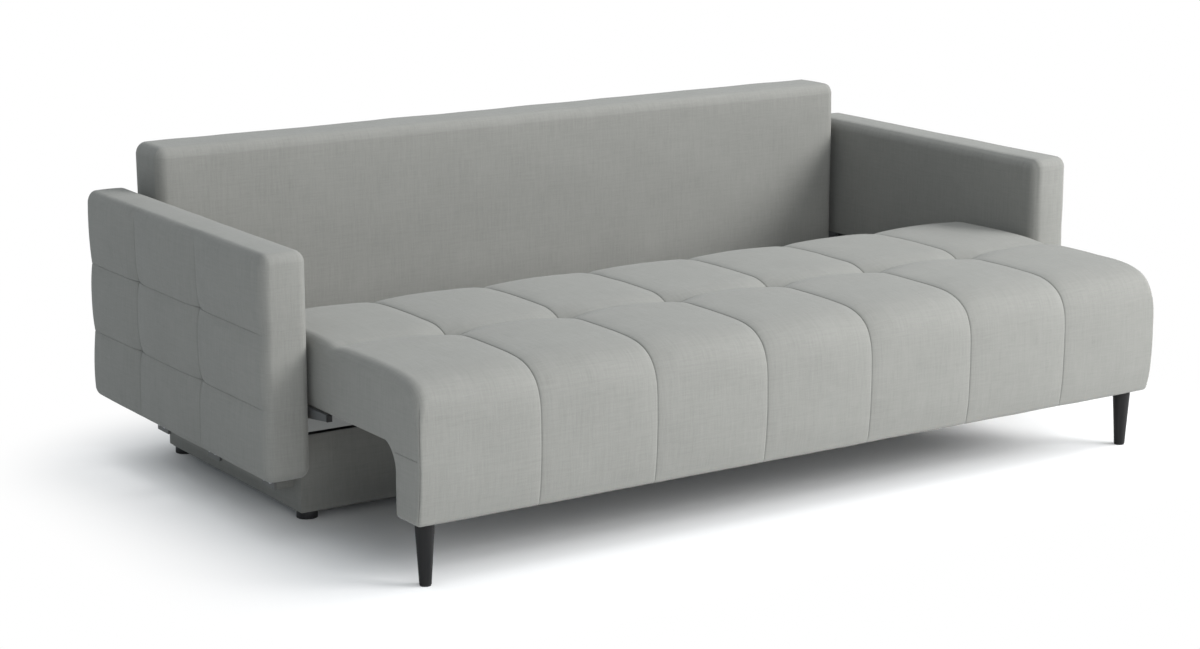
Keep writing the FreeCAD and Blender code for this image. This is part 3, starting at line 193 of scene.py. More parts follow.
def linen(name, flat=False, sewn=False):
    """Plain-woven grey linen: threads, slubs and a slow change of tone. flat is for boards, which have
    no UV map, and sewn adds the seat's seams: grooves in the bump, and painted shade that darkens the
    colour along them."""
    mat, nt, shader = node_tree(name)
    uv = flat_coordinates(nt) if flat else nt.nodes.new("ShaderNodeTexCoord").outputs["UV"]

    def cloth_noise(su, sv, detail, rough):
        return noise_node(nt, stretched(nt, uv, su, sv), 1.0, detail, rough)

    warp, weft = cloth_noise(560, 26, 3.0, 0.6), cloth_noise(26, 560, 3.0, 0.6)
    slub_a, slub_b = cloth_noise(170, 9, 2.0, 0.5), cloth_noise(9, 170, 2.0, 0.5)
    cloud = cloth_noise(9, 9, 2.0, 0.5)
    tone = weighted(nt, (warp, 0.30), (weft, 0.26), (slub_a, 0.18), (slub_b, 0.14), (cloud, 0.12))
    colour = ramp(nt, tone, [(0.34, tinted(LINEN, 0.86)), (0.50, LINEN), (0.66, tinted(LINEN, 1.12))])

    # over-and-under of the threads
    xy = nt.nodes.new("ShaderNodeSeparateXYZ")
    nt.links.new(uv, xy.inputs[0])
    sway = math_node(nt, "MULTIPLY", cloth_noise(60, 60, 2.0, 0.55), 2.2)
    over_u, over_v = (
        math_node(nt, "SINE", math_node(nt, "ADD", math_node(nt, "MULTIPLY", axis, math.pi / THREAD), sway))
        for axis in xy.outputs[:2])
    height = weighted(nt, (math_node(nt, "MULTIPLY", over_u, over_v), 0.32),
                      (math_node(nt, "ADD", warp, weft), 0.6))
    if sewn:
        seam = seam_lines(nt, xy.outputs[0], xy.outputs[1])
        # painted shade: the colour darkens by up to 8 % along the seams and their stitches, standing for
        # the shade in their grooves
        painted_seam_shade = nt.nodes.new("ShaderNodeVectorMath")
        painted_seam_shade.operation = "SCALE"
        nt.links.new(colour, painted_seam_shade.inputs[0])
        painted_shade_scale = math_node(nt, "SUBTRACT", 1.0, math_node(nt, "MULTIPLY", seam, 0.08))
        nt.links.new(painted_shade_scale, painted_seam_shade.inputs["Scale"])
        colour = painted_seam_shade.outputs[0]
        height = math_node(nt, "SUBTRACT", height, math_node(nt, "MULTIPLY", seam, 0.9))
    nt.links.new(colour, shader.inputs["Base Color"])
    bump(nt, shader, height, 0.55, 0.0006)
    shader.inputs["Roughness"].default_value = 0.9
    shader.inputs["Specular IOR Level"].default_value = 0.25
    shader.inputs["Sheen Weight"].default_value = 0.12
    shader.inputs["Sheen Roughness"].default_value = 0.55
    shader.inputs["Sheen Tint"].default_value = (0.95, 0.95, 0.93, 1)
    return mat


def wood(name, dark, light, along, rough=0.6, shine=0.5):
    """Sawn timber or plywood: long grain along one axis."""
    mat, nt, shader = node_tree(name)
    tc = nt.nodes.new("ShaderNodeTexCoord")
    s = [70.0, 70.0, 70.0]
    s["xyz".index(along)] = 3.5
    grain = noise_node(nt, stretched(nt, tc.outputs["Object"], *s), 1.0, 6.0, 0.62)
    nt.links.new(ramp(nt, grain, [(0.35, dark), (0.62, light)]), shader.inputs["Base Color"])
    bump(nt, shader, grain, 0.25, 0.0008)
    shader.inputs["Roughness"].default_value = rough
    shader.inputs["Specular IOR Level"].default_value = shine
    return mat


def speckled(name, colour, rough, metallic=0.0, scale=420.0, spread=0.18):
    """Paint, moulded plastic, rubber or plated steel: fine mottle in tone and height."""
    mat, nt, shader = node_tree(name)
    tc = nt.nodes.new("ShaderNodeTexCoord")
    fine = noise_node(nt, tc.outputs["Object"], scale, 4.0, 0.6)
    slow = noise_node(nt, tc.outputs["Object"], scale / 30, 2.0, 0.5)
    both = weighted(nt, (fine, 0.6), (slow, 0.4))
    stops = [(0.35, tinted(colour, 1 - spread)), (0.65, tinted(colour, 1 + spread))]
    nt.links.new(ramp(nt, both, stops), shader.inputs["Base Color"])
    bump(nt, shader, fine, 0.3, 0.0003)
    shader.inputs["Roughness"].default_value = rough
    shader.inputs["Metallic"].default_value = metallic
    return mat


def webbing(name, colour):
    """Flat woven strap with a rib across it."""
    mat, nt, shader = node_tree(name)
    tc = nt.nodes.new("ShaderNodeTexCoord")
    ribs = noise_node(nt, stretched(nt, tc.outputs["Object"], 500, 60, 500), 1.0, 2.0)
    stops = [(0.35, tinted(colour, 0.7)), (0.65, tinted(colour, 1.25))]
    nt.links.new(ramp(nt, ribs, stops), shader.inputs["Base Color"])
    bump(nt, shader, ribs, 0.5, 0.0006)
    shader.inputs["Roughness"].default_value = 0.9
    return mat


PINE = ((0.40, 0.27, 0.14), (0.62, 0.46, 0.28))
BIRCH = ((0.50, 0.38, 0.24), (0.66, 0.53, 0.36))
STAINED = ((0.006, 0.006, 0.0065), (0.013, 0.0125, 0.0125))

FABRIC = linen("linen_cover")
FABRIC_SEAT = linen("linen_seat", sewn=True)
FABRIC_BOARD = linen("linen_board", flat=True)
TIMBER_X = wood("pine_long", *PINE, "x")
TIMBER_Y = wood("pine_deep", *PINE, "y")
PLYWOOD = wood("birch_ply", *BIRCH, "y")
WHITE_BOARD = speckled("white_board", (0.19, 0.193, 0.19), 0.55, scale=300, spread=0.05)
BLACK_WOOD = wood("black_wood", *STAINED, "z", rough=0.5, shine=0.2)
BLACK_PLASTIC = speckled("black_plastic", (0.009, 0.009, 0.0095), 0.5, scale=700)
GREY_STEEL = speckled("grey_steel", (0.125, 0.128, 0.130), 0.45, metallic=0.2, scale=900, spread=0.12)
PAINTED_STEEL = speckled("painted_steel", (0.150, 0.150, 0.145), 0.6, scale=500, spread=0.06)
ZINC = speckled("zinc_steel", (0.55, 0.55, 0.57), 0.3, metallic=1.0, scale=260)
BUSH = speckled("bush_plastic", (0.72, 0.71, 0.66), 0.35, scale=500, spread=0.06)
RUBBER = speckled("rubber", (0.02, 0.02, 0.02), 0.85, scale=900)
STRAP = webbing("strap_webbing", (0.10, 0.08, 0.06))
LINING = webbing("black_lining", (0.009, 0.009, 0.010))

LOOK = {
    FABRIC_BOARD: ["box_front_board", "box_side_board_left", "box_side_board_right", "box_rear_board",
                   "back_rear_cover", "arm_bearer_left", "arm_bearer_right"],
    TIMBER_X: ["apron_front_board", "apron_rear_board", "leg_blocks", "seat_rear_rail", "seat_front_rail",
               "back_rails", "back_stiles", "box_corner_blocks"],
    TIMBER_Y: ["seat_side_rails", "seat_cross_rails", "arm_frame_left", "arm_frame_right",
               "box_divider"],
    PLYWOOD: ["arm_inner_panel_left", "arm_inner_panel_right"],
    WHITE_BOARD: ["box_bottom_panel"],
    BLACK_WOOD: ["leg_left", "leg_right"],
    BLACK_PLASTIC: ["base_glides", "leg_pads", "rail_end_cap_left", "rail_end_cap_right",
                    "fixed_roller_left", "fixed_roller_right", "middle_roller_left",
                    "middle_roller_right", "seat_roller_left", "seat_roller_right"],
    GREY_STEEL: ["middle_rail_left", "middle_rail_right", "fixed_rail_left", "fixed_rail_right",
                 "back_guide_left", "back_guide_right", "roller_brackets", "catch_brackets",
                 "seat_catch_left", "seat_catch_right", "seat_rear_ledge", "back_carriages",
                 "back_pivot_plates"],
    PAINTED_STEEL: ["arm_brackets"],
    ZINC: ["bracket_bolts", "rail_screws"],
    BUSH: ["pivot_bushes"],
    RUBBER: ["ledge_pad"],
    STRAP: ["seat_webbing", "back_webbing"],
    LINING: ["seat_dust_cover"],
}
for material, names in LOOK.items():
    for n in names:
        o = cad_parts[n]
        o.data.materials.clear()
        o.data.materials.append(material)


def soften(names, width, segments=2):
    """Eased edges on rigid boards and turned parts."""
    for n in names:
        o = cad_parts[n]
        weld = o.modifiers.new("weld", "WELD")
        weld.merge_threshold = WELD
        edge = o.modifiers.new("ease", "BEVEL")
        edge.width = width
        edge.segments = segments
        edge.limit_method = "ANGLE"
        edge.angle_limit = math.radians(50)
        edge.harden_normals = True


soften(["box_front_board", "box_side_board_left", "box_side_board_right", "box_rear_board"], 0.0025, 3)
soften(["base_glides", "leg_left", "leg_right"], 0.002)


# ------------------------------------------------------------------ helpers for shapes
def clip(v):
    return min(max(v, 0.0), 1.0)


def rise(v, start, over):
    """0 up to start, then evenly up to 1 within the given length. For arrays."""
    return np.clip((v - start) / over, 0, 1)


def ease(f):
    """Levels out both ends of a run from 0 to 1."""
    return f * f * (3 - 2 * f)


def bell(v, width):
    return math.exp(-((v / width) ** 2))


def wave(x, y, z, size, amount):
    """Slow unevenness of stuffed cloth."""
    return amount * noise.noise(Vector((x / size, y / size, z / size)))


def mesh_object(name, verts, faces, uvs, material):
    """uvs holds one pair for each corner of each face, in order."""
    me = bpy.data.meshes.new(name)
    me.from_pydata([tuple(v) for v in verts], [], faces)
    layer = me.uv_layers.new(name="UVMap")
    layer.data.foreach_set("uv", np.asarray(uvs, np.float32).ravel())
    me.polygons.foreach_set("use_smooth", [True] * len(me.polygons))
    me.materials.append(material)
    o = bpy.data.objects.new(name, me)
    scene.collection.objects.link(o)
    return o


def join_seams(o):
    """Welds points that lie together, and turns all faces outwards."""
    bm = bmesh.new()
    bm.from_mesh(o.data)
    bmesh.ops.remove_doubles(bm, verts=bm.verts, dist=WELD)
    bmesh.ops.recalc_face_normals(bm, faces=bm.faces)
    bm.to_mesh(o.data)
    bm.free()
    o.data.polygons.foreach_set("use_smooth", [True] * len(o.data.polygons))


def block(x0, x1, z0, z1):
    return [(x0, z0), (x1, z0), (x1, z1), (x0, z1)]


def hollow(o, cuts):
    """Cuts the room for the frame out of a padded form. A cut is an outline in x and z, and its
    reach in y."""
    join_seams(o)
    for outline, y0, y1 in cuts:
        n = len(outline)
        v = [(x, y, z) for y in (y0, y1) for x, z in outline]
        f = [tuple(range(n)), tuple(range(2 * n - 1, n - 1, -1))]
        f += [((i + 1) % n, i, n + i, n + (i + 1) % n) for i in range(n)]
        uv = [(v[i][0] + v[i][1], v[i][2] + v[i][1] * 0.5) for face in f for i in face]
        tool = mesh_object("cutter", v, f, uv, FABRIC)
        join_seams(tool)
        m = o.modifiers.new("cut", "BOOLEAN")
        m.operation = "DIFFERENCE"
        m.solver = "EXACT"
        m.object = tool
        dg = bpy.context.evaluated_depsgraph_get()
        made = bpy.data.meshes.new_from_object(o.evaluated_get(dg), preserve_all_data_layers=True,
                                               depsgraph=dg)
        o.modifiers.clear()
        o.data = made
        bpy.data.objects.remove(tool)
    o.data.set_sharp_from_angle(angle=math.radians(55))


def line_points(p, q, step):
    n = max(1, round(math.dist(p, q) / step))
    return [(p[0] + (q[0] - p[0]) * k / n, p[1] + (q[1] - p[1]) * k / n) for k in range(n + 1)]


def arc_points(p, mid, q, n):
    """n + 1 points of the circle arc from p to q through mid, in a plane."""
    (ax, ay), (bx, by), (cx, cy) = p, mid, q
    a2, b2, c2 = ax**2 + ay**2, bx**2 + by**2, cx**2 + cy**2
    d = 2 * (ax * (by - cy) + bx * (cy - ay) + cx * (ay - by))
    ux = (a2 * (by - cy) + b2 * (cy - ay) + c2 * (ay - by)) / d
    uy = (a2 * (cx - bx) + b2 * (ax - cx) + c2 * (bx - ax)) / d
    r = math.hypot(ax - ux, ay - uy)
    a0, am, a1 = (math.atan2(y - uy, x - ux) for x, y in (p, mid, q))
    turn = 2 * math.pi
    while am < a0:
        am += turn
    while a1 < a0:
        a1 += turn
    if am > a1:
        a1 -= turn
    angles = [a0 + (a1 - a0) * k / n for k in range(n + 1)]
    return [(ux + r * math.cos(a), uy + r * math.sin(a)) for a in angles]


def smooth_through(points, spacing):
    """Points of a smooth line through the given ones, spaced by the given function of place."""
    pieces, shortest = 60, 0.0012
    pts = [np.array(p, float) for p in points]
    pts = [2 * pts[0] - pts[1]] + pts + [2 * pts[-1] - pts[-2]]
    dense = []
    for k in range(1, len(pts) - 2):
        # one stretch of a centripetal Catmull-Rom spline
        p0, p1, p2, p3 = pts[k - 1:k + 3]
        t0 = 0.0
        t1 = t0 + np.linalg.norm(p1 - p0) ** 0.5
        t2 = t1 + np.linalg.norm(p2 - p1) ** 0.5
        t3 = t2 + np.linalg.norm(p3 - p2) ** 0.5
        for t in np.linspace(t1, t2, pieces, endpoint=False):
            a1 = (t1 - t) / (t1 - t0) * p0 + (t - t0) / (t1 - t0) * p1
            a2 = (t2 - t) / (t2 - t1) * p1 + (t - t1) / (t2 - t1) * p2
            a3 = (t3 - t) / (t3 - t2) * p2 + (t - t2) / (t3 - t2) * p3
            b1 = (t2 - t) / (t2 - t0) * a1 + (t - t0) / (t2 - t0) * a2
            b2 = (t3 - t) / (t3 - t1) * a2 + (t - t1) / (t3 - t1) * a3
            dense.append((t2 - t) / (t2 - t1) * b1 + (t - t1) / (t2 - t1) * b2)
    dense.append(pts[-2])
    out, run = [dense[0]], 0.0
    for a, b in zip(dense, dense[1:]):
        run += float(np.linalg.norm(b - a))
        if run >= spacing(b):
            out.append(b)
            run = 0.0
    if np.linalg.norm(out[-1] - dense[-1]) < shortest:
        out.pop()
    out.append(dense[-1])
    return [tuple(p) for p in out]


# ------------------------------------------------------------------ seat cover
# The outline lies in the plane of a seam: distance behind the seat's front, and height. Metres.
SEAT_DEPTH, SEAT_TOP, UNDERSIDE = 0.728, 0.4435, 0.297
APRON_DEPTH, APRON_FOOT = 0.090, 0.140
SIDE_SEAM = 0.283                       # height of the short seam on each side of the apron
SIDE_REACH = 0.030                      # the sides' rounding begins no further in than this
SIDE_MESH = 0.012                       # mesh width of the flat sides

ROUND_TOP, ROUND_FRONT, ROUND_FOOT, ROUND_HIDDEN = 0.027, 0.0085, 0.013, 0.006
SWELL_MIDDLE, SWELL_AT_SEAM = 0.0056, 0.0034
SWELL_OUTER, SWELL_OUTER_FALL = 0.0090, 0.0066
FRONT_FULL = 0.0035                     # how much fuller a column is where it bends over the front
END_FULL_LEFT, END_FULL_RIGHT, END_REACH = 0.0105, 0.0050, 0.15
SEAM_WIDTH, SEAM_DEPTH = 0.0017, 0.0010
VALLEY_REACH, VALLEY_DEPTH, VALLEY_AT_SEAM = 0.090, 0.0112, 0.0105
TUFT_WIDTH, TUFT_DEPTH, DIMPLE_DEPTH = 0.012, 0.0045, 0.0040
CREASE_LOW, CREASE_HIGH, CREASE_PITCH, CREASE_DEPTH = 0.372, 0.422, 0.0085, 0.00042


def seat_outline():
    def spacing(p):
        from_row = abs(p[0] - ROW)
        if from_row < 0.030:
            return 0.0022
        if from_row < 0.100:
            return 0.0045
        return 0.0030 if p[0] < 0.070 and p[1] > 0.365 else 0.0070

    rear = line_points((SEAT_DEPTH, 0.305), (SEAT_DEPTH, 0.420), 0.008)
    rear_rim = arc_points((SEAT_DEPTH, 0.420), (0.7208, 0.4368), (0.704, SEAT_TOP), 9)
    top_and_front = smooth_through(
        [(0.704, SEAT_TOP), (0.672, 0.4475), (0.610, 0.4500), (0.536, 0.4508), (0.439, 0.4495),
         (0.364, 0.4483), (0.281, 0.4484), (0.200, 0.4482), (0.140, 0.4474), (0.100, 0.4456),
         (0.066, 0.4408), (0.036, 0.4298), (0.014, 0.4135), (0.001, 0.3940), (-0.0065, 0.3720),
         (-0.0098, 0.3480), (-0.0110, 0.3000), (-0.0108, 0.2550), (-0.0085, 0.2050),
         (-0.0045, 0.1700), (-0.0015, 0.1530)], spacing)
    front_rim = arc_points((-0.0015, 0.153), (0.0018, 0.1439), (0.0110, APRON_FOOT), 6)
    foot = line_points((0.011, APRON_FOOT), (0.078, APRON_FOOT), 0.010)
    inner_rim = arc_points((0.078, APRON_FOOT), (0.0865, 0.1435), (APRON_DEPTH, 0.152), 6)
    inner = line_points((APRON_DEPTH, 0.152), (APRON_DEPTH, 0.229), 0.010)
    bend = arc_points((0.130, UNDERSIDE), (0.1025, 0.2763), (APRON_DEPTH, 0.229), 9)[::-1]
    under = line_points((0.130, UNDERSIDE), (0.720, UNDERSIDE), 0.020)
    under_rim = arc_points((0.720, UNDERSIDE), (0.7257, 0.2993), (SEAT_DEPTH, 0.305), 4)
    stretches = (rear, rear_rim, top_and_front, front_rim, foot, inner_rim, inner, bend, under, under_rim)
    return [p for stretch in stretches for p in stretch[:-1]]


def outline_weights(y, z, ny, nz):
    """How each point of the outline follows the swelling, the seams and the fuller front, which points
    show, and the rounding towards the seat's sides with the share of its corner seam."""
    outer = (z > 0.4) | (y < 0.012) | ((y > 0.725) & (z > 0.30))
    front = outer & (y < 0.10)

    high = ease(rise(z, 0.33, 0.10))
    front_swell = 0.42 * rise(z, APRON_FOOT, 0.05) * (1 - high) + high
    # the rear face stays flat, so that it clears the lowered back
    rear_swell = rise(z, 0.33, 0.11) * np.maximum(nz, 0.0)
    swell = np.select([front & (z < 0.443), outer & (y > 0.70), outer], [front_swell, rear_swell, 1.0], 0.0)

    seam = np.select([(z < 0.147) & (y > 0.01), (y < 0.05) & (z < 0.38), outer],
                     [np.where(y < 0.075, 0.4, 0.0), np.where(z > 0.150, 1.0, 0.7), 1.0], 0.0)

    lean = np.arctan2(nz, -ny)
    turn = np.where((y < 0.25) & (z > 0.30) & (ny < 0) & (nz > 0), np.sin(2 * lean) ** 2, 0.0)

    above_foot = rise(z, APRON_FOOT, 0.03)
    front_edge = ROUND_FRONT + (ROUND_TOP - ROUND_FRONT) * ease(rise(z, 0.345, 0.075))
    front_edge = ROUND_FOOT + (front_edge - ROUND_FOOT) * above_foot
    rear_edge = np.where(y > 0.7, 0.010 + 0.005 * rise(z, 0.33, 0.09),
                         0.015 + 0.012 * np.clip((SEAT_DEPTH - y) / 0.068, 0, 1))
    edge = np.select([front, outer & (y > 0.66), outer, (z < 0.148) & (y < 0.086)],
                     [front_edge, rear_edge, ROUND_TOP, ROUND_FOOT], ROUND_HIDDEN)
    corner = np.where(front, above_foot * (1 - rise(z, 0.375, 0.03)), 0.0)

    for _ in range(6):
        edge = (np.roll(edge, 1) + edge + np.roll(edge, -1)) / 3
        swell = np.where(outer, (np.roll(swell, 1) + swell + np.roll(swell, -1)) / 3, swell)
    return outer, swell, seam, turn, edge, corner


def seam_distance(x):
    """Distance to the nearest seam between columns."""
    k = (x + SEAT_HALF) / PITCH
    near = min(max(round(k), 1), COLUMNS - 1)
    return abs(k - near) * PITCH


def crown(x):
    """How far the top of a column swells above its seams."""
    k = min(max((x + SEAT_HALF) / PITCH, 0.0), COLUMNS)
    half = PITCH / 2
    if k < 0.5 or k > COLUMNS - 0.5:
        from_side = min(k, COLUMNS - k) * PITCH
        return SWELL_OUTER - SWELL_OUTER_FALL * (1 - min(from_side / half, 1.0)) ** 2
    d = seam_distance(x)
    v = min(d / half, 1.0)
    return SWELL_MIDDLE * (1 - (1 - v) ** 2.0) + SWELL_AT_SEAM * (1 - math.exp(-d / 0.012))


def groove(d):
    """Depth of a seam's groove at the distance d from the seam."""
    return SEAM_DEPTH * bell(d, SEAM_WIDTH) + 0.0006 * math.exp(-d / 0.006)


def row_sink(u, d, depth, tufted):
    """How far the top lies lower at u from the row of tufts and d from the nearest seam."""
    sink = depth * (1 - u / VALLEY_REACH) ** 2.3 if u < VALLEY_REACH else 0.0
    if tufted:
        sink += TUFT_DEPTH * math.exp(-(d / TUFT_WIDTH) ** 2 - (u / TUFT_WIDTH) ** 2)
        sink += DIMPLE_DEPTH * math.exp(-(d / 0.032) ** 2 - (u / 0.030) ** 2)
    # short drawn folds beside each tuft
    return sink + 0.0016 * math.exp(-d / 0.035) * bell(u, 0.004)


def crease(x, z, k):
    """Fine creases where the cover bends over the front, most of all in the middle of a column."""
    middle = math.sin(math.pi * (k % 1)) ** 0.7
    across = 0.5 + 0.5 * noise.noise(Vector((x * 16, 3.1, 0)))
    phase = 2.2 * noise.noise(Vector((x * 9, 0, 5)))
    ridge = math.sin((z - CREASE_LOW) / CREASE_PITCH * 2 * math.pi + phase)
    window = math.sin(math.pi * (z - CREASE_LOW) / (CREASE_HIGH - CREASE_LOW))
    return CREASE_DEPTH * ridge * window * middle * across


def ring_places():
    """Places of the rings across the seat, close together at the seams."""
    steps = (0.0, 0.0006, 0.0012, 0.0019, 0.0028, 0.0042, 0.0062, 0.009, 0.013, 0.019, 0.027, 0.038,
             0.052, 0.070, 0.090, 0.112, 0.132, PITCH / 2)
    last = SEAT_HALF - SIDE_REACH
    places = set()
    for s in range(1, COLUMNS):
        seam_x = -SEAT_HALF + s * PITCH
        for t in steps:
            places |= {round(seam_x - t, 6), round(seam_x + t, 6)}
    for t in (0.0, 0.02, 0.045, 0.075):
        places |= {round(last - t, 6), round(-last + t, 6)}
    places = sorted(x for x in places if abs(x) <= last + 1e-9)
    out = places[:1]
    for x in places[1:]:
        if x - out[-1] > 0.0004:
            out.append(x)
    return out


def side_panel(ring, sign, first):
    """Flat side inside the last ring, with a short seam across the apron: points, faces and UVs.
    first is the number of its first point."""
    rim = [(float(p[1]), float(p[2])) for p in ring]
    n = len(rim)
    lines = list(zip(rim, rim[1:] + rim[:1]))

    def inside(p):
        hit = False
        for (ay, az), (by, bz) in lines:
            if (az > p[1]) != (bz > p[1]) and p[0] < (by - ay) * (p[1] - az) / (bz - az) + ay:
                hit = not hit
        return hit

    def gap(p):
        """Distance from p to the rim."""
        best = 1.0
        for (ay, az), (by, bz) in lines:
            dy, dz = by - ay, bz - az
            t = clip(((p[0] - ay) * dy + (p[1] - az) * dz) / max(dy * dy + dz * dz, 1e-12))
            best = min(best, math.hypot(p[0] - ay - t * dy, p[1] - az - t * dz))
        return best

    grid = []
    y = SEAT_FRONT + 0.004
    while y < SEAT_REAR - 0.004:
        z = APRON_FOOT + 0.006
        while z < 0.44:
            if abs(z - SIDE_SEAM) >= 0.006 or y >= SEAT_FRONT + 0.12:
                grid.append((y, z))
            z += SIDE_MESH
        y += SIDE_MESH
    for dz in (-0.004, -0.0012, -0.0005, 0.0, 0.0005, 0.0012, 0.004):
        for y in np.linspace(SEAT_FRONT - 0.002, SEAT_FRONT + 0.086, 30):
            grid.append((float(y), SIDE_SEAM + dz))
    grid = [p for p in grid if inside(p) and gap(p) > 0.0022]

    bound = [(i, (i + 1) % n) for i in range(n)]
    flat, _, triangles = delaunay_2d_cdt([Vector(p) for p in rim + grid], bound, [], 1, 1e-7)[:3]
    plane = float(ring[:, 0].mean())
    points = []
    for q in flat:
        g = gap((q[0], q[1]))
        puff = 0.0022 * (1 - (1 - min(g / 0.05, 1.0)) ** 2)
        puff += min(g / 0.01, 1) * wave(q[0] + 3, q[1], sign, 0.09, 0.0009)
        if q[0] < SEAT_FRONT + 0.09:
            puff -= 0.0014 * bell(q[1] - SIDE_SEAM, 0.0009) * min(g / 0.002, 1)
        dip = bell(q[0] - SEAT_FRONT - ROW, 0.03) * clip((q[1] - 0.36) / 0.08)
        puff -= 0.0022 * dip * min(g / 0.01, 1)
        points.append((plane + sign * puff, q[0], q[1]))
    faces = [tuple(first + i for i in f) for f in triangles]
    # ten metres along the cloth, clear of the seams' painted shade and grooves
    uvs = [(flat[i][0] + 10.0, flat[i][1]) for f in triangles for i in f]
    return points, faces, uvs


def seat_cover():
    """Rings of one outline across the seat, each swollen and drawn in by its place, and flat sides."""
    base = np.array(seat_outline())
    n = len(base)
    ahead, behind = np.roll(base, -1, 0), np.roll(base, 1, 0)
    tangent = ahead - behind
    tangent /= np.linalg.norm(tangent, axis=1)[:, None]
    normal = np.stack([-tangent[:, 1], tangent[:, 0]], 1)
    if normal[int(np.argmax(base[:, 1])), 1] < 0:
        normal = -normal                # outwards: the highest point's normal looks up
    length = np.concatenate([[0], np.cumsum(np.linalg.norm(ahead - base, axis=1))])
    y, z = base[:, 0], base[:, 1]
    ny, nz = normal[:, 0], normal[:, 1]
    outer, swell, seam, turn, edge, corner = outline_weights(y, z, ny, nz)

    def section(x, inset=None):
        """Points of one ring. On the rounded sides, inset moves each point in along its normal, and
        there are no seams, tufts or creases."""
        sewn = inset is None
        d, k = seam_distance(x), (x + SEAT_HALF) / PITCH
        up, g = crown(x), groove(d) if sewn else 0.0
        from_side = min(k, COLUMNS - k) * PITCH
        near_end = clip((0.17 - from_side) / END_REACH)
        full = FRONT_FULL * (1 - (1 - min(d / (PITCH / 2), 1.0)) ** 2) * (1 - near_end)
        full += (END_FULL_LEFT if x < 0 else END_FULL_RIGHT) * ease(near_end)
        depth = VALLEY_DEPTH + VALLEY_AT_SEAM * bell(d, 0.050)
        if k < 1 or k > COLUMNS - 1:
            depth *= 0.62 + 0.38 * min(max(from_side, 0) / (0.8 * PITCH), 1)
        ring = np.empty((n, 3))
        for i in range(n):
            off = up * swell[i] - g * seam[i] + full * turn[i]
            if not sewn:
                off -= inset[i]
            py, pz = y[i] + ny[i] * off, z[i] + nz[i] * off
            if outer[i] and z[i] > 0.43 and 0.2 < y[i] < 0.6:
                pz -= row_sink(abs(y[i] - ROW), d, depth, sewn)
            fold = 0.0
            if outer[i]:
                fold = wave(x, py, pz, 0.11, 0.0011) + wave(x + 7, py, pz, 0.045, 0.00035)
                if sewn and y[i] < 0.08 and CREASE_LOW < z[i] < CREASE_HIGH:
                    fold += crease(x, z[i], k)
            ring[i] = (x, SEAT_FRONT + py + ny[i] * fold, pz + nz[i] * fold)
        return ring

    rings = [(section(x), np.full(n, x)) for x in ring_places()]
    # rounded sides, with a seam half way round the corner
    for t in (0.0, 0.14, 0.28, 0.40, 0.46, 0.485, 0.5, 0.515, 0.54, 0.60, 0.72, 0.86, 1.0):
        a = t * math.pi / 2
        sunk = corner * bell(t - 0.5, 0.022)
        inset = edge * (1 - math.cos(a)) + 0.0016 * sunk
        across = SEAT_HALF - edge + edge * math.sin(a) - 0.0010 * sunk
        along = SEAT_HALF - edge + edge * a
        for sign in (1, -1):
            ring = section(sign * (SEAT_HALF - SIDE_REACH), inset)
            ring[:, 0] = sign * across
            rings.insert(len(rings) if sign > 0 else 0, (ring, sign * along))

    verts = [tuple(p) for ring, _ in rings for p in ring]
    faces, uvs = [], []
    for a, ((_, here), (_, there)) in enumerate(zip(rings, rings[1:])):
        for i in range(n):
            j = (i + 1) % n
            faces.append((a * n + i, (a + 1) * n + i, (a + 1) * n + j, a * n + j))
            v0, v1 = length[i], length[i + 1]
            uvs += [(here[i], v0), (there[i], v0), (there[j], v1), (here[j], v1)]
    for sign, ring in ((1, rings[-1][0]), (-1, rings[0][0])):
        for whole, part in zip((verts, faces, uvs), side_panel(ring, sign, len(verts))):
            whole += part
    return mesh_object("seat_cover", verts, faces, uvs, FABRIC_SEAT)


# room for the seat's frame, behind the apron's front and below the foam
FRAME_HALF = 1.014
FRAME_FRONT, FRAME_REAR = SEAT_FRONT + 0.016, SEAT_FRONT + 0.716
seat = seat_cover()
hollow(seat, [(block(-FRAME_HALF, FRAME_HALF, 0.301, 0.353), FRAME_FRONT, FRAME_REAR),
              (block(-FRAME_HALF, FRAME_HALF, 0.152, 0.302), FRAME_FRONT, SEAT_FRONT + 0.074),
              (block(-FRAME_HALF, FRAME_HALF, 0.280, 0.302), SEAT_FRONT + 0.139, FRAME_REAR)])
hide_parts("seat_cushion")
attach(seat, "seat")


# ------------------------------------------------------------------ rounded padded boxes
ROUND_STEPS = 7                         # mesh steps over half of a rounding


def axis_steps(lo, hi, r_lo, r_hi, seams, step):
    """Coordinates along one side of a rounded box, closer at the rounding and at seams."""
    ends = [1 - math.tan(math.pi / 4 * k / ROUND_STEPS) for k in range(ROUND_STEPS + 1)]
    stops = {round(lo + r_lo * t, 6) for t in ends} | {round(hi - r_hi * t, 6) for t in ends}
    for s in seams:
        for t in (0.0, 0.0007, 0.0014, 0.0024, 0.004, 0.0065, 0.010, 0.015, 0.022, 0.031):
            stops |= {round(s - t, 6), round(s + t, 6)}
    stops = sorted(stops)
    out = [stops[0]]
    for s in stops[1:]:
        gap = s - out[-1]
        if gap > step * 1.4:
            k = math.ceil(gap / step)
            out += [out[-1] + gap * j / k for j in range(1, k)]
        out.append(s)
    return out


